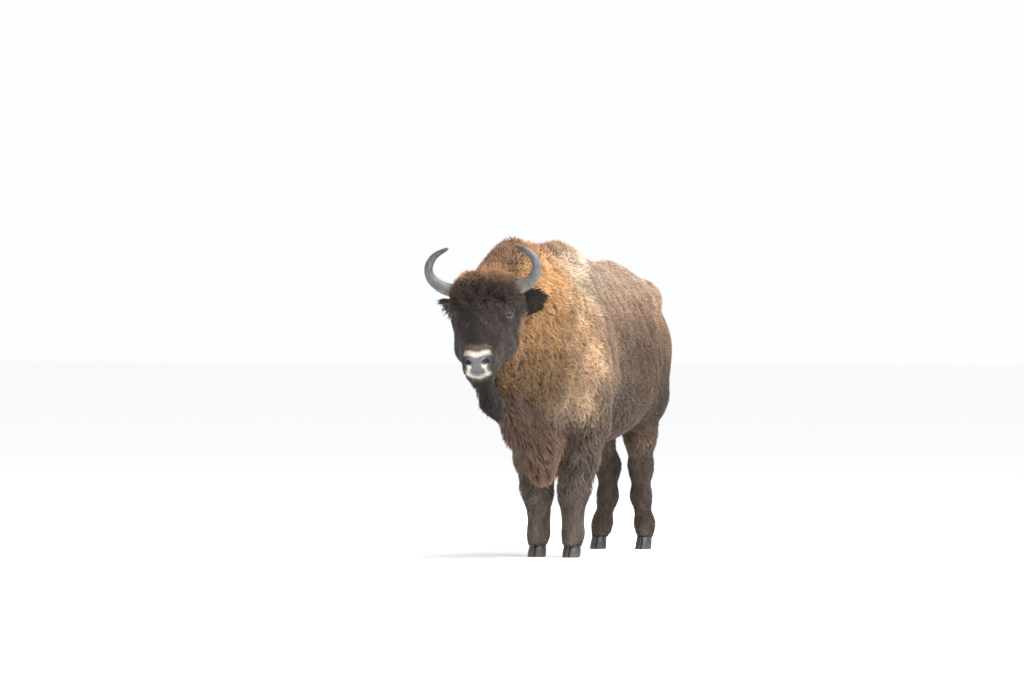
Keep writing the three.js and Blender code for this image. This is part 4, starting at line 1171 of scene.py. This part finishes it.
def tube_faces(rings, sides):
    """Triangles between closed rings of corners and a fan over each end, about the last two corners."""
    i, j = np.meshgrid(np.arange(rings - 1), np.arange(sides), indexing="ij")
    a, b = i * sides + j, i * sides + (j + 1) % sides
    k, after = np.arange(sides), (np.arange(sides) + 1) % sides
    first, end = rings * sides, (rings - 1) * sides
    return np.concatenate([
        np.stack([a, b, b + sides], -1).reshape(-1, 3),
        np.stack([a, b + sides, a + sides], -1).reshape(-1, 3),
        np.stack([np.full(sides, first), after, k], 1),
        np.stack([np.full(sides, first + 1), end + k, end + after], 1),
    ])


def tube(path, broad, half, thick, sides, ripple=None):
    """Closed rings round a path: path + (across half cos + other thick sin) (1 + ripple(t, angle))."""
    heading = unit(np.gradient(path, axis=0))
    across = unit(broad - heading * (heading @ broad)[:, None])
    other = np.cross(heading, across)
    angle = 2 * np.pi * np.arange(sides) / sides
    t = np.linspace(0, 1, len(path))[:, None]
    grow_by = 1 if ripple is None else 1 + ripple(t, angle[None])
    ring = across[:, None] * (half[:, None] * np.cos(angle) * grow_by)[..., None]
    ring = ring + other[:, None] * (thick[:, None] * np.sin(angle) * grow_by)[..., None]
    points = np.concatenate([(path[:, None] + ring).reshape(-1, 3), path[:1], path[-1:]])
    return points, tube_faces(len(path), sides)


def tapered(half, t, blunt):
    """Radii at each t: a profile through evenly spaced ones, rounded off over the last `blunt` of the way."""
    spread = profile(np.linspace(0, 1, len(half)), np.array(half, float))(t)
    return spread * np.sqrt(blunt(t))


print("tube helpers ready")

# %% The two horns
HORN_PATH = [  # left, ahead, up in the head's level frame
    (105, -92, 156), (186, -84, 165), (246, -68, 194), (284, -46, 241), (287, -32, 293), (252, -29, 347),
    (178, -37, 386),
]
HORN_RADII = [37, 36, 32, 27, 22, 16, 8]
HORN_SET = 10  # both horns stand this much to the left of the face's middle
HORN_STEPS, HORN_SIDES = 150, 40


def rings_of_growth(t, angle):
    """Rings: a sharpened sine along the horn, fading by the middle, plus faint ridges along it."""
    year = np.sin(2 * np.pi * (t * 34 + 0.35 * np.sin(t * 21) + 0.05 * np.sin(angle * 2 + 9 * t)))
    ridges = 0.010 * np.sin(angle * 9 + 4 * t) * ease(t, 0.9, 0.2)
    return 0.034 * np.maximum(year, -0.4) * ease(t, 0.50, 0.10) + ridges


horns = []
for name, sign in (("left", 1), ("right", -1)):
    path, t = smooth_path(from_head([(sign * a + HORN_SET, b, c) for a, b, c in HORN_PATH]), HORN_STEPS)
    radius = tapered(HORN_RADII, t, lambda t: np.clip((1.002 - t) / 0.03, 0.02, 1))
    points, faces = tube(path, upward, radius, radius * 0.93, HORN_SIDES, rings_of_growth)
    horn = new_piece("horn_piece_" + name, points, faces)
    paint(horn, "reach", np.concatenate([np.repeat(t, HORN_SIDES), [0, 1]]))
    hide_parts("horn_" + name)
    horns.append(horn)
print("horns:", [len(h.data.polygons) for h in horns], "triangles")

# %% [markdown]
# ## Hooves
# A wisent walks on two claws to each foot. Each is a half-oval box of horn, flat below, with its wall
# sloping forward to the toe. Behind and above them hang two dewclaws. A claw could be cut from a box and
# bevelled, but its outline changes all the way up, so it is built as rings of points from the sole up,
# with a rounded edge at the sole and the growth rings that run level round the wall. A dewclaw is a short
# tube.

# %% Claws
CLAW = {"height": 67.7, "length": 112.0, "parting": 6.0, "set": 12.0, "lean": 26.0, "inner": 0.12}
CLAW_LEVELS = np.array([0.0, 14.0, 67.7])
SOLE_EDGE = [0, 0.6, 1.6, 3.2]  # heights of the rings that round the sole's edge
claw_length = profile(CLAW_LEVELS, np.array([1.0, 0.97, 0.86]))
claw_width = profile(CLAW_LEVELS, np.array([0.94, 0.98, 0.90]))


def claw(foot, full, side, rings=26, sides=48):
    """One claw: at each height a half oval, x = width (sin + inner), y = -half length cos, and a lean."""
    up = np.concatenate([SOLE_EDGE, np.linspace(6, CLAW["height"], rings - len(SOLE_EDGE))])
    round_off = 1 - 0.05 * np.clip(1 - up / 4, 0, 1) ** 2
    ripple = 1 + 0.006 * np.sin(up / 4.6) * ease(up, 4, 12)
    angle = 2 * np.pi * np.arange(sides) / sides
    outer = (np.maximum(np.sin(angle), -CLAW["inner"]) + CLAW["inner"]) / (1 + CLAW["inner"])
    half_length = CLAW["length"] * claw_length(up)[:, None] * (1 - CLAW["inner"] * outer) / 2
    width = full * claw_width(up)[:, None] * outer
    back = (CLAW["lean"] * (up / 68 - 0.75) - CLAW["set"])[:, None]
    worn = (round_off * ripple)[:, None]
    x = foot[0] + side * (CLAW["parting"] / 2 + width * worn)
    y = foot[1] + back - half_length * np.cos(angle) * worn
    points = np.stack([x, y, np.broadcast_to(up[:, None], x.shape)], axis=-1)
    faces = tube_faces(rings, sides)
    points = np.concatenate([points.reshape(-1, 3), points.mean(1)[[0, -1]]])
    return points, faces if side > 0 else faces[:, ::-1]


print("a claw:", len(claw((0, 0), 47, 1)[1]), "triangles")

# %% All hooves
DEWCLAW = {"aside": 20, "up": 117.0, "half": [14, 14, 8], "steps": 24, "sides": 24}
DEWCLAW_RUN = [5, 40, -34]  # outwards, back and down from its root to its tip
hooves = []
for name, rows, leg_sign, foot, full in LEGS:
    fetlock = rows[-2]
    for word, side in (("left", 1), ("right", -1)):
        points, faces = claw(foot, full, side)
        hoof = new_piece(f"{name}_hoof_{word}", points, faces)
        paint(hoof, "reach", points[:, 2] / CLAW["height"])
        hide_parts(f"{name}_claw_{word}")
        hooves.append(hoof)
        root_x = foot[0] + leg_sign * fetlock[0] + side * DEWCLAW["aside"]
        start = np.array([root_x, foot[1] + fetlock[1] + fetlock[4] / 2, DEWCLAW["up"]])
        run = np.outer([0, 0.5, 1], DEWCLAW_RUN * np.array([side, 1, 1]))
        path, t = smooth_path(start + run, DEWCLAW["steps"])
        half = tapered(DEWCLAW["half"], t, lambda t: np.clip((1.01 - t) / 0.2, 0.05, 1))
        points, faces = tube(
            path, np.array([1.0, 0, 0]), half, half, DEWCLAW["sides"], lambda t, angle: 0.02 * np.sin(t * 40)
        )
        dewclaw = new_piece(f"{name}_dew_{word}", points, faces)
        paint(dewclaw, "reach", np.concatenate([1 - np.repeat(t, DEWCLAW["sides"]), [1, 0]]))
        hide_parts(f"{name}_dewclaw_{word}")
        hooves.append(dewclaw)
print("hoof pieces:", len(hooves))

# %% [markdown]
# ## Eyes
# The eyeball is a ball with the cornea bulging a little in front. A ready-made sphere has its poles up
# and down. Here rings of points run round the line of sight instead, so the height along that line says
# what each ring is: pupil, iris or the dark rim of the white.

# %% Eyeballs
EYE_RINGS = 72  # rings along the line of sight, and corners in each ring
CORNEA = {"rise": 1.6, "spread": 0.42}  # mm that it stands proud, and its half angle in radians
eyes = []
for name, sign in (("left", 1), ("right", -1)):
    centre, axes = eye_frame(sign)
    tilts = np.linspace(0.0005, np.pi - 0.0005, EYE_RINGS)
    tilt, turn = np.meshgrid(tilts, 2 * np.pi * np.arange(EYE_RINGS) / EYE_RINGS, indexing="ij")
    radius = EYE_RADIUS - 0.6 + CORNEA["rise"] * np.exp(-((tilt / CORNEA["spread"]) ** 2))
    ball = np.stack([np.sin(tilt) * np.cos(turn), np.sin(tilt) * np.sin(turn), np.cos(tilt)], axis=-1)
    points = centre + (ball * radius[..., None]).reshape(-1, 3) @ axes.T
    i, j = np.meshgrid(np.arange(EYE_RINGS - 1), np.arange(EYE_RINGS), indexing="ij")
    a, b = i * EYE_RINGS + j, i * EYE_RINGS + (j + 1) % EYE_RINGS
    upper = np.stack([a, a + EYE_RINGS, b + EYE_RINGS], -1)
    lower = np.stack([a, b + EYE_RINGS, b], -1)
    eye = new_piece("eyeball_" + name, points, np.concatenate([upper.reshape(-1, 3), lower.reshape(-1, 3)]))
    paint(eye, "gaze", ball.reshape(-1, 3) * 0.5 + 0.5)
    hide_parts("eye_" + name)
    eyes.append(eye)
print("eyes:", len(eyes))

# %% [markdown]
# ## Ears
# A wisent's ear is a short broad cup, almost hidden in black-brown hair. The skin's cells are too coarse
# for such a thin leaf, so the cup is a piece of its own: a tube with a flat section, bent across its
# width by pushing its edges towards the opening. The same locks as the coat's grow on it, longest along
# its rim.

# %% Cups of the ears
EARS = {  # root, tip, broad side, and which way the cup opens, in the head's level frame
    "left": ((132, -182, 82), (346, -158, 120), (0.05, 0.15, 1), (0.1, 1.0, -0.35)),
    "right": ((-126, -168, 78), (-268, -262, 98), (-0.45, 0.6, 0.8), (-0.45, 0.4, -0.8)),
}
EAR_HALF = [28, 50, 58, 46, 10]
EAR_THICK = [20, 13, 8, 6, 4]
EAR_STEPS = 40  # rings along the ear, and corners in each ring
EVEN = np.linspace(0, 1, len(EAR_HALF))


def ear_cup(start, end, broad, opening):
    """A flat tube whose corners move to the opening by 0.42 half (distance from its axis / half)^2."""
    start, end = np.array(start, float), np.array(end, float)
    path, t = smooth_path(from_head(start + np.outer([0, 0.4, 0.78], end - start)), EAR_STEPS)
    half, thick = [profile(EVEN, np.array(row, float))(t) for row in (EAR_HALF, EAR_THICK)]
    points, faces = tube(path, LEVEL @ np.array(broad, float), half, thick, EAR_STEPS)
    face_out = LEVEL @ (np.array(opening, float) / np.linalg.norm(opening))
    offset = points[:-2].reshape(EAR_STEPS, EAR_STEPS, 3) - path[:, None]
    share = np.linalg.norm(offset, axis=2) / half[:, None]
    bend = share**2 * 0.42 * half[:, None] * ease(t, 0.05, 0.4)[:, None]
    points[:-2] += (face_out * bend[..., None]).reshape(-1, 3)
    normals = corner_normals(points, faces)
    if (normals * (points - points.mean(0))).sum() < 0:
        faces, normals = faces[:, ::-1], -normals
    place = np.concatenate([np.repeat(t, EAR_STEPS), [0, 1]])
    round_about = np.concatenate([np.tile(np.arange(EAR_STEPS) / EAR_STEPS, EAR_STEPS), [0, 0]])
    uv = np.stack([0.05 + 0.9 * round_about, 0.05 + 0.9 * place], axis=1)
    return {
        "points": points, "faces": faces, "normals": unit(normals), "uv": uv,
        "path": path, "place": place, "opening": face_out,
    }


print("a cup:", len(ear_cup(*EARS["left"])["faces"]), "triangles")

# %% Hair of one ear
EAR_HAIR = {"spacing": 4.6, "width": 5.2, "curl": 0.35, "cover": 10.0}


def ear_hair(cup, dice):
    """Locks that point to the ear's tip and away from its axis, shorter and paler inside the cup."""
    points, path = cup["points"], cup["path"]
    face_at, weight = scatter(points, cup["faces"], np.full(len(points), EAR_HAIR["spacing"]), dice)
    corner = cup["faces"][face_at]
    root, normal, uv = [at_roots(weight, cup[key][corner]) for key in ("points", "normals", "uv")]
    normal = unit(normal)
    inner = ease((normal * cup["opening"]).sum(1), 0.2, 0.7)
    reach = cup["place"][corner].mean(1)
    beside = path[np.clip((reach * (EAR_STEPS - 1)).astype(int), 0, EAR_STEPS - 1)]
    comb = unit(path[-1] - path[0]) + 0.55 * (root - beside) / 50
    n = len(root)
    plan = {
        "length": 36 - 14 * inner + 12 * reach, "width": np.full(n, EAR_HAIR["width"]),
        "curl": np.full(n, EAR_HAIR["curl"]), "comb": unit(comb + np.array([0, 0, -0.25])),
        "root": np.tile(SHADES["ear"][0], (n, 1)),
        "tip": np.array(SHADES["ear"][1]) * (1 + 0.8 * inner[:, None]),
    }
    return grow(root, normal, plan, np.full(n, EAR_HAIR["cover"]), uv, "medium", dice)


print("ear hair ready")

# %% Both ears
ears = []
for seed, (name, shape) in enumerate(EARS.items(), 60):
    cup = ear_cup(*shape)
    ear = new_piece("ear_cup_" + name, cup["points"], cup["faces"], cup["uv"])
    paint(ear, "coat", np.tile(SHADES["ear"][0], (len(cup["points"]), 1)) * 1.4)
    points, faces, colour, uv = ear_hair(cup, np.random.default_rng(seed))
    hair = new_piece("ear_hair_" + name, points, faces, uv)
    paint(hair, "coat", colour)
    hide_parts("ear_" + name)
    ears.append((ear, hair))
    print(f"ear {name}: {len(faces)} triangles of hair")

# %% [markdown]
# ## Finishes
# Hair, skin, horn and hoof are all keratin or hide: not metal, hardly shiny, and never one flat colour.
# The colours themselves are stored on the meshes, which is exact to the lock and needs no image. Two
# effects are shared, so each is a shader node group with named inputs. One gives hair its broken tone and
# the fine relief along it, the other gives horn its streaks and rings.

# %% Helpers for node trees
def link(tree, value, socket):
    """Feeds a socket from another one, or sets it to a plain value."""
    if hasattr(value, "is_output"):
        tree.links.new(value, socket)
    else:
        socket.default_value = value


def new_group(name, inputs, outputs):
    """A shader group with float or colour inputs {name: default} and outputs {name: socket type}."""
    group = bpy.data.node_groups.new(name, "ShaderNodeTree")
    for label, default in inputs.items():
        kind = "NodeSocketFloat" if isinstance(default, (int, float)) else "NodeSocketColor"
        socket = group.interface.new_socket(name=label, in_out="INPUT", socket_type=kind)
        socket.default_value = default
    for label, kind in outputs.items():
        group.interface.new_socket(name=label, in_out="OUTPUT", socket_type=kind)
    return group, group.nodes.new("NodeGroupInput"), group.nodes.new("NodeGroupOutput")


def noise(tree, vector, scale, detail, rough):
    """A noise texture on Object coordinates; the scale is a socket or a number."""
    node = tree.nodes.new("ShaderNodeTexNoise")
    for label, value in (("Vector", vector), ("Scale", scale), ("Detail", detail), ("Roughness", rough)):
        link(tree, value, node.inputs[label])
    return node.outputs["Fac"]


def remap(tree, value, low_in, high_in, low_out, high_out):
    """Maps a value from one range to another, clamped."""
    node = tree.nodes.new("ShaderNodeMapRange")
    ends = {"From Min": low_in, "From Max": high_in, "To Min": low_out, "To Max": high_out}
    for label, number in ends.items():
        node.inputs[label].default_value = number
    tree.links.new(value, node.inputs["Value"])
    return node.outputs["Result"]


def blend_colours(tree, mode, factor, a, b):
    """A colour Mix node; each argument is a socket or a value."""
    node = tree.nodes.new("ShaderNodeMix")
    node.data_type, node.blend_type = "RGBA", mode
    for number, value in ((0, factor), (6, a), (7, b)):
        link(tree, value, node.inputs[number])
    return node.outputs[2]


def maths(tree, operation, a, b):
    """A Math node; each argument is a socket or a number."""
    node = tree.nodes.new("ShaderNodeMath")
    node.operation = operation
    link(tree, a, node.inputs[0])
    link(tree, b, node.inputs[1])
    return node.outputs[0]


def object_place(tree):
    """Object coordinates."""
    return tree.nodes.new("ShaderNodeTexCoord").outputs["Object"]


def attribute(tree, name, output="Color"):
    """An attribute stored on the mesh."""
    node = tree.nodes.new("ShaderNodeAttribute")
    node.attribute_name = name
    return node.outputs[output]


print("node helpers ready")

# %% Group: broken tone of hair
hair_tone, given, result = new_group(
    "Hair tone",
    {"Colour": (0.1, 0.06, 0.03, 1), "Patch size": 9.0, "Patch strength": 0.3, "Fine size": 160.0},
    {"Colour": "NodeSocketColor", "Roughness": "NodeSocketFloat", "Height": "NodeSocketFloat"},
)
place = object_place(hair_tone)
own = given.outputs["Colour"]
patches = noise(hair_tone, place, given.outputs["Patch size"], 5, 0.6)
fine = noise(hair_tone, place, given.outputs["Fine size"], 3, 0.7)
dark = blend_colours(hair_tone, "MULTIPLY", 1.0, own, (0.62, 0.58, 0.56, 1))
light = blend_colours(hair_tone, "MULTIPLY", 1.0, own, (1.32, 1.26, 1.18, 1))
patched = blend_colours(hair_tone, "MIX", remap(hair_tone, patches, 0.30, 0.70, 0, 1), dark, light)
mixed = blend_colours(hair_tone, "MIX", given.outputs["Patch strength"], own, patched)
link(hair_tone, mixed, result.inputs["Colour"])
link(hair_tone, remap(hair_tone, fine, 0.3, 0.7, 0.62, 0.86), result.inputs["Roughness"])
link(hair_tone, fine, result.inputs["Height"])
print("group:", hair_tone.name)

# %% Group: streaks and rings of horn
horn_grain, given, result = new_group(
    "Horn grain",
    {
        "Reach": 0.0, "Base": (0.2, 0.16, 0.1, 1), "Middle": (0.1, 0.1, 0.1, 1), "Tip": (0.03, 0.03, 0.03, 1),
        "Grain": 30.0,
    },
    {"Colour": "NodeSocketColor", "Roughness": "NodeSocketFloat", "Height": "NodeSocketFloat"},
)
place = object_place(horn_grain)
streak = noise(horn_grain, place, given.outputs["Grain"], 6, 0.65)
blotch = noise(horn_grain, place, 12.0, 4, 0.6)
reach = maths(horn_grain, "ADD", given.outputs["Reach"], remap(horn_grain, blotch, 0.25, 0.75, -0.12, 0.12))
past_base = remap(horn_grain, reach, 0.12, 0.42, 0, 1)
past_middle = remap(horn_grain, reach, 0.55, 0.95, 0, 1)
lower = blend_colours(horn_grain, "MIX", past_base, given.outputs["Base"], given.outputs["Middle"])
whole = blend_colours(horn_grain, "MIX", past_middle, lower, given.outputs["Tip"])
in_streak = remap(horn_grain, streak, 0.35, 0.65, 0, 1)
stain = blend_colours(horn_grain, "MIX", in_streak, (0.45, 0.43, 0.41, 1), (1.25, 1.25, 1.25, 1))
link(horn_grain, blend_colours(horn_grain, "MULTIPLY", 0.75, whole, stain), result.inputs["Colour"])
scraped = remap(horn_grain, streak, 0.3, 0.7, 0.50, 0.72)
rubbed = remap(horn_grain, reach, 0.3, 1.0, 0, 0.22)
link(horn_grain, maths(horn_grain, "SUBTRACT", scraped, rubbed), result.inputs["Roughness"])
link(horn_grain, streak, result.inputs["Height"])
print("group:", horn_grain.name)

# %% Helpers for materials
def new_material(name):
    """A material with only its Principled BSDF and its output."""
    material = bpy.data.materials.new(name)
    material.use_nodes = True
    return material, material.node_tree, material.node_tree.nodes["Principled BSDF"]


def use_group(tree, group, values):
    """Places a shader group and fills its inputs with sockets or values."""
    node = tree.nodes.new("ShaderNodeGroup")
    node.node_tree = group
    for label, value in values.items():
        link(tree, value, node.inputs[label])
    return node.outputs


def bumped(tree, shader, height, strength, distance):
    """Feeds a height into the shader's Normal through a Bump node."""
    node = tree.nodes.new("ShaderNodeBump")
    node.inputs["Strength"].default_value = strength
    node.inputs["Distance"].default_value = distance
    tree.links.new(height, node.inputs["Height"])
    tree.links.new(node.outputs["Normal"], shader.inputs["Normal"])


def hair_tones(tree, patch_size, patch, fine_size):
    """The painted coat colour, broken up by the group."""
    values = {"Patch size": patch_size, "Patch strength": patch, "Fine size": fine_size}
    return use_group(tree, hair_tone, {"Colour": attribute(tree, "coat"), **values})


print("material helpers ready")

# %% Hair
def hair_material(name, patch, fine_size, sheen):
    """Hair: the painted coat colour broken up, soft gloss, and a little sheen."""
    material, tree, shader = new_material(name)
    tones = hair_tones(tree, 8.0, patch, fine_size)
    link(tree, tones["Colour"], shader.inputs["Base Color"])
    link(tree, tones["Roughness"], shader.inputs["Roughness"])
    shader.inputs["Sheen Weight"].default_value = sheen
    shader.inputs["Sheen Roughness"].default_value = 0.4
    shader.inputs["Specular IOR Level"].default_value = 0.25
    bumped(tree, shader, tones["Height"], 0.25, 0.002)
    return material


wool = hair_material("woolly hair", 0.55, 220.0, 0.14)
plush = hair_material("short hair", 0.45, 320.0, 0.08)
long_hair = hair_material("long hair", 0.50, 180.0, 0.08)
print("hair finishes:", wool.name, plush.name, long_hair.name, sep=", ")

# %% Hide and the bare nose
hide, tree, shader = new_material("hide and bare nose")
tones = hair_tones(tree, 14.0, 0.35, 420.0)
wet = attribute(tree, "wet", "Fac")
link(tree, tones["Colour"], shader.inputs["Base Color"])
gloss = maths(tree, "MULTIPLY", wet, 0.42)
link(tree, maths(tree, "SUBTRACT", tones["Roughness"], gloss), shader.inputs["Roughness"])
pebbles = tree.nodes.new("ShaderNodeTexVoronoi")
pebbles.inputs["Scale"].default_value = 260.0
link(tree, object_place(tree), pebbles.inputs["Vector"])
pores = maths(tree, "ADD", maths(tree, "MULTIPLY", pebbles.outputs["Distance"], wet), tones["Height"])
bumped(tree, shader, pores, 0.5, 0.0015)
print("hide finish:", hide.name)

# %% Horn and hoof
def horn_material(name, base, middle, tip, grain, strength, distance):
    """Horn: three colours from root to tip, its streaks in colour, gloss and relief."""
    material, tree, shader = new_material(name)
    colours = {"Base": (*base, 1), "Middle": (*middle, 1), "Tip": (*tip, 1)}
    horny = use_group(tree, horn_grain, {"Reach": attribute(tree, "reach", "Fac"), **colours, "Grain": grain})
    link(tree, horny["Colour"], shader.inputs["Base Color"])
    link(tree, horny["Roughness"], shader.inputs["Roughness"])
    bumped(tree, shader, horny["Height"], strength, distance)
    return material


horn_finish = horn_material(
    "horn", (0.190, 0.150, 0.104), (0.120, 0.124, 0.132), (0.060, 0.060, 0.065), 38.0, 0.45, 0.003
)
hoof_finish = horn_material(
    "hoof", (0.060, 0.050, 0.042), (0.035, 0.031, 0.029), (0.022, 0.020, 0.020), 60.0, 0.4, 0.002
)
print("horny finishes:", horn_finish.name, hoof_finish.name)

# %% Eye
eye_finish, tree, shader = new_material("wet eye")
split = tree.nodes.new("ShaderNodeSeparateColor")
link(tree, attribute(tree, "gaze"), split.inputs["Color"])
across = maths(tree, "SUBTRACT", split.outputs["Red"], 0.5)
height = maths(tree, "MULTIPLY", maths(tree, "SUBTRACT", split.outputs["Green"], 0.5), 2.1)
across_squared, height_squared = [maths(tree, "MULTIPLY", value, value) for value in (across, height)]
from_middle = maths(tree, "SQRT", maths(tree, "ADD", across_squared, height_squared), 0.0)
past_iris = remap(tree, maths(tree, "SUBTRACT", 1.0, split.outputs["Blue"]), 0.10, 0.14, 0, 1)
iris = blend_colours(tree, "MIX", past_iris, (0.016, 0.008, 0.004, 1), (0.020, 0.014, 0.011, 1))
past_pupil = remap(tree, from_middle, 0.17, 0.20, 0, 1)
whole = blend_colours(tree, "MIX", past_pupil, (0.002, 0.002, 0.003, 1), iris)
link(tree, whole, shader.inputs["Base Color"])
shader.inputs["Roughness"].default_value = 0.08
shader.inputs["IOR"].default_value = 1.36
print("materials:", len(bpy.data.materials))

# %% Dressing and riding
def dress(piece, material, slot):
    """Gives a piece its material and lets it ride on the body; `slot` is not used."""
    piece.data.materials.clear()
    piece.data.materials.append(material)
    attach(piece, "root")


FLESH_NODES = [n for n in frame["nodes"] if not n.startswith(("horn", "eye", "ear")) and "claw" not in n]
COAT_FINISH = {  # first word of a coat piece: its material and slot
    "neck": (wool, "coat_golden"),
    "shoulder": (wool, "coat_golden"),
    "flank": (plush, "coat_brown"),
    "hindlegs": (plush, "coat_brown"),
    "apron": (long_hair, "coat_brown"),
    "tail": (long_hair, "coat_brown"),
    "beard": (long_hair, "coat_dark"),
    "forelock": (long_hair, "coat_dark"),
    "face": (long_hair, "coat_dark"),
    "forelegs": (long_hair, "coat_dark"),
}
dress(skin, hide, "coat_brown")
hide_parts(*FLESH_NODES)
for part, coat in coats.items():
    dress(coat, *COAT_FINISH[part.split("_")[0]])
HARD_PARTS = {"horn": (horn_finish, horns), "hoof": (hoof_finish, hooves), "eye": (eye_finish, eyes)}
for slot, (finish, pieces) in HARD_PARTS.items():
    for piece in pieces:
        dress(piece, finish, slot)
for ear, hair in ears:
    dress(ear, hide, "coat_dark")
    dress(hair, long_hair, "coat_dark")
print("pieces:", 1 + len(coats) + len(horns) + len(hooves) + len(eyes) + 2 * len(ears))

# %% [markdown]
# ## Floor, light and camera
# The model stands on a plain pale floor in soft light from above, as under an overcast sky. A few lamps
# alone would leave hard shadows, so the sky itself gives most of the light and two wide lamps shape the
# back. The camera is far off with a long lens, about as high as the hump, ahead of the animal and to its
# left. A near camera would make the head look too large for the body.

# %% Floor
FLOOR_REACH = 60.0  # metres to each side
floor_mesh = bpy.data.meshes.new("floor")
floor_corners = [(x * FLOOR_REACH, y * FLOOR_REACH, 0) for x, y in ((-1, -1), (1, -1), (1, 1), (-1, 1))]
floor_mesh.from_pydata(floor_corners, [], [(0, 1, 2, 3)])
floor = bpy.data.objects.new("floor", floor_mesh)
bpy.context.scene.collection.objects.link(floor)
floor_finish, tree, shader = new_material("pale floor")
shader.inputs["Base Color"].default_value = (0.96, 0.96, 0.96, 1)
shader.inputs["Roughness"].default_value = 0.9
floor.data.materials.append(floor_finish)
print("floor:", 2 * FLOOR_REACH, "m wide")

# %% Light
world = bpy.data.worlds.new("overcast")
bpy.context.scene.world = world
world.use_nodes = True
sky = world.node_tree.nodes["Background"]
sky.inputs["Color"].default_value = (0.98, 0.99, 1.0, 1)
sky.inputs["Strength"].default_value = 1.0
bpy.context.scene.view_settings.view_transform = "Standard"


def soft_light(name, place, aim, width, power):
    """A square area light at `place`, turned to face `aim`, in metres."""
    light = bpy.data.lights.new(name, "AREA")
    light.size = width
    light.energy = power
    lamp = bpy.data.objects.new(name, light)
    bpy.context.scene.collection.objects.link(lamp)
    lamp.location = place
    lamp.rotation_euler = (Vector(aim) - Vector(place)).to_track_quat("-Z", "Y").to_euler()


soft_light("sky above", (3.8, -2.2, 6.4), (0, -0.2, 1.1), 5.0, 880)
soft_light("sky behind", (2.0, 4.6, 6.0), (0, 0.4, 1.2), 5.0, 420)
print("light ready")

# %% Camera
AZIMUTH, ELEVATION = np.radians([17.0, 0.8])
DISTANCE = 46.0  # metres from the fore feet
ASIDE, ABOVE = 0.2312, 1.1586  # metres to the left of the fore feet and above them
right = np.array([math.cos(AZIMUTH), math.sin(AZIMUTH), 0.0])
level_ahead = np.array([-math.sin(AZIMUTH), math.cos(AZIMUTH), 0.0])
sight = level_ahead * math.cos(ELEVATION) - np.array([0.0, 0.0, math.sin(ELEVATION)])
lens = bpy.data.cameras.new("camera")
lens.lens = 300.8
lens.sensor_width = 36.0
lens.clip_end = 500.0
camera = bpy.data.objects.new("camera", lens)
bpy.context.scene.collection.objects.link(camera)
camera.location = FEET / 1000 - DISTANCE * sight - ASIDE * right + ABOVE * np.cross(right, sight)
camera.rotation_euler = (math.pi / 2 - ELEVATION, 0.0, AZIMUTH)
bpy.context.scene.camera = camera
print("camera at", np.array(camera.location).round(2))

# %% Last update of the scene
bpy.context.view_layer.update()
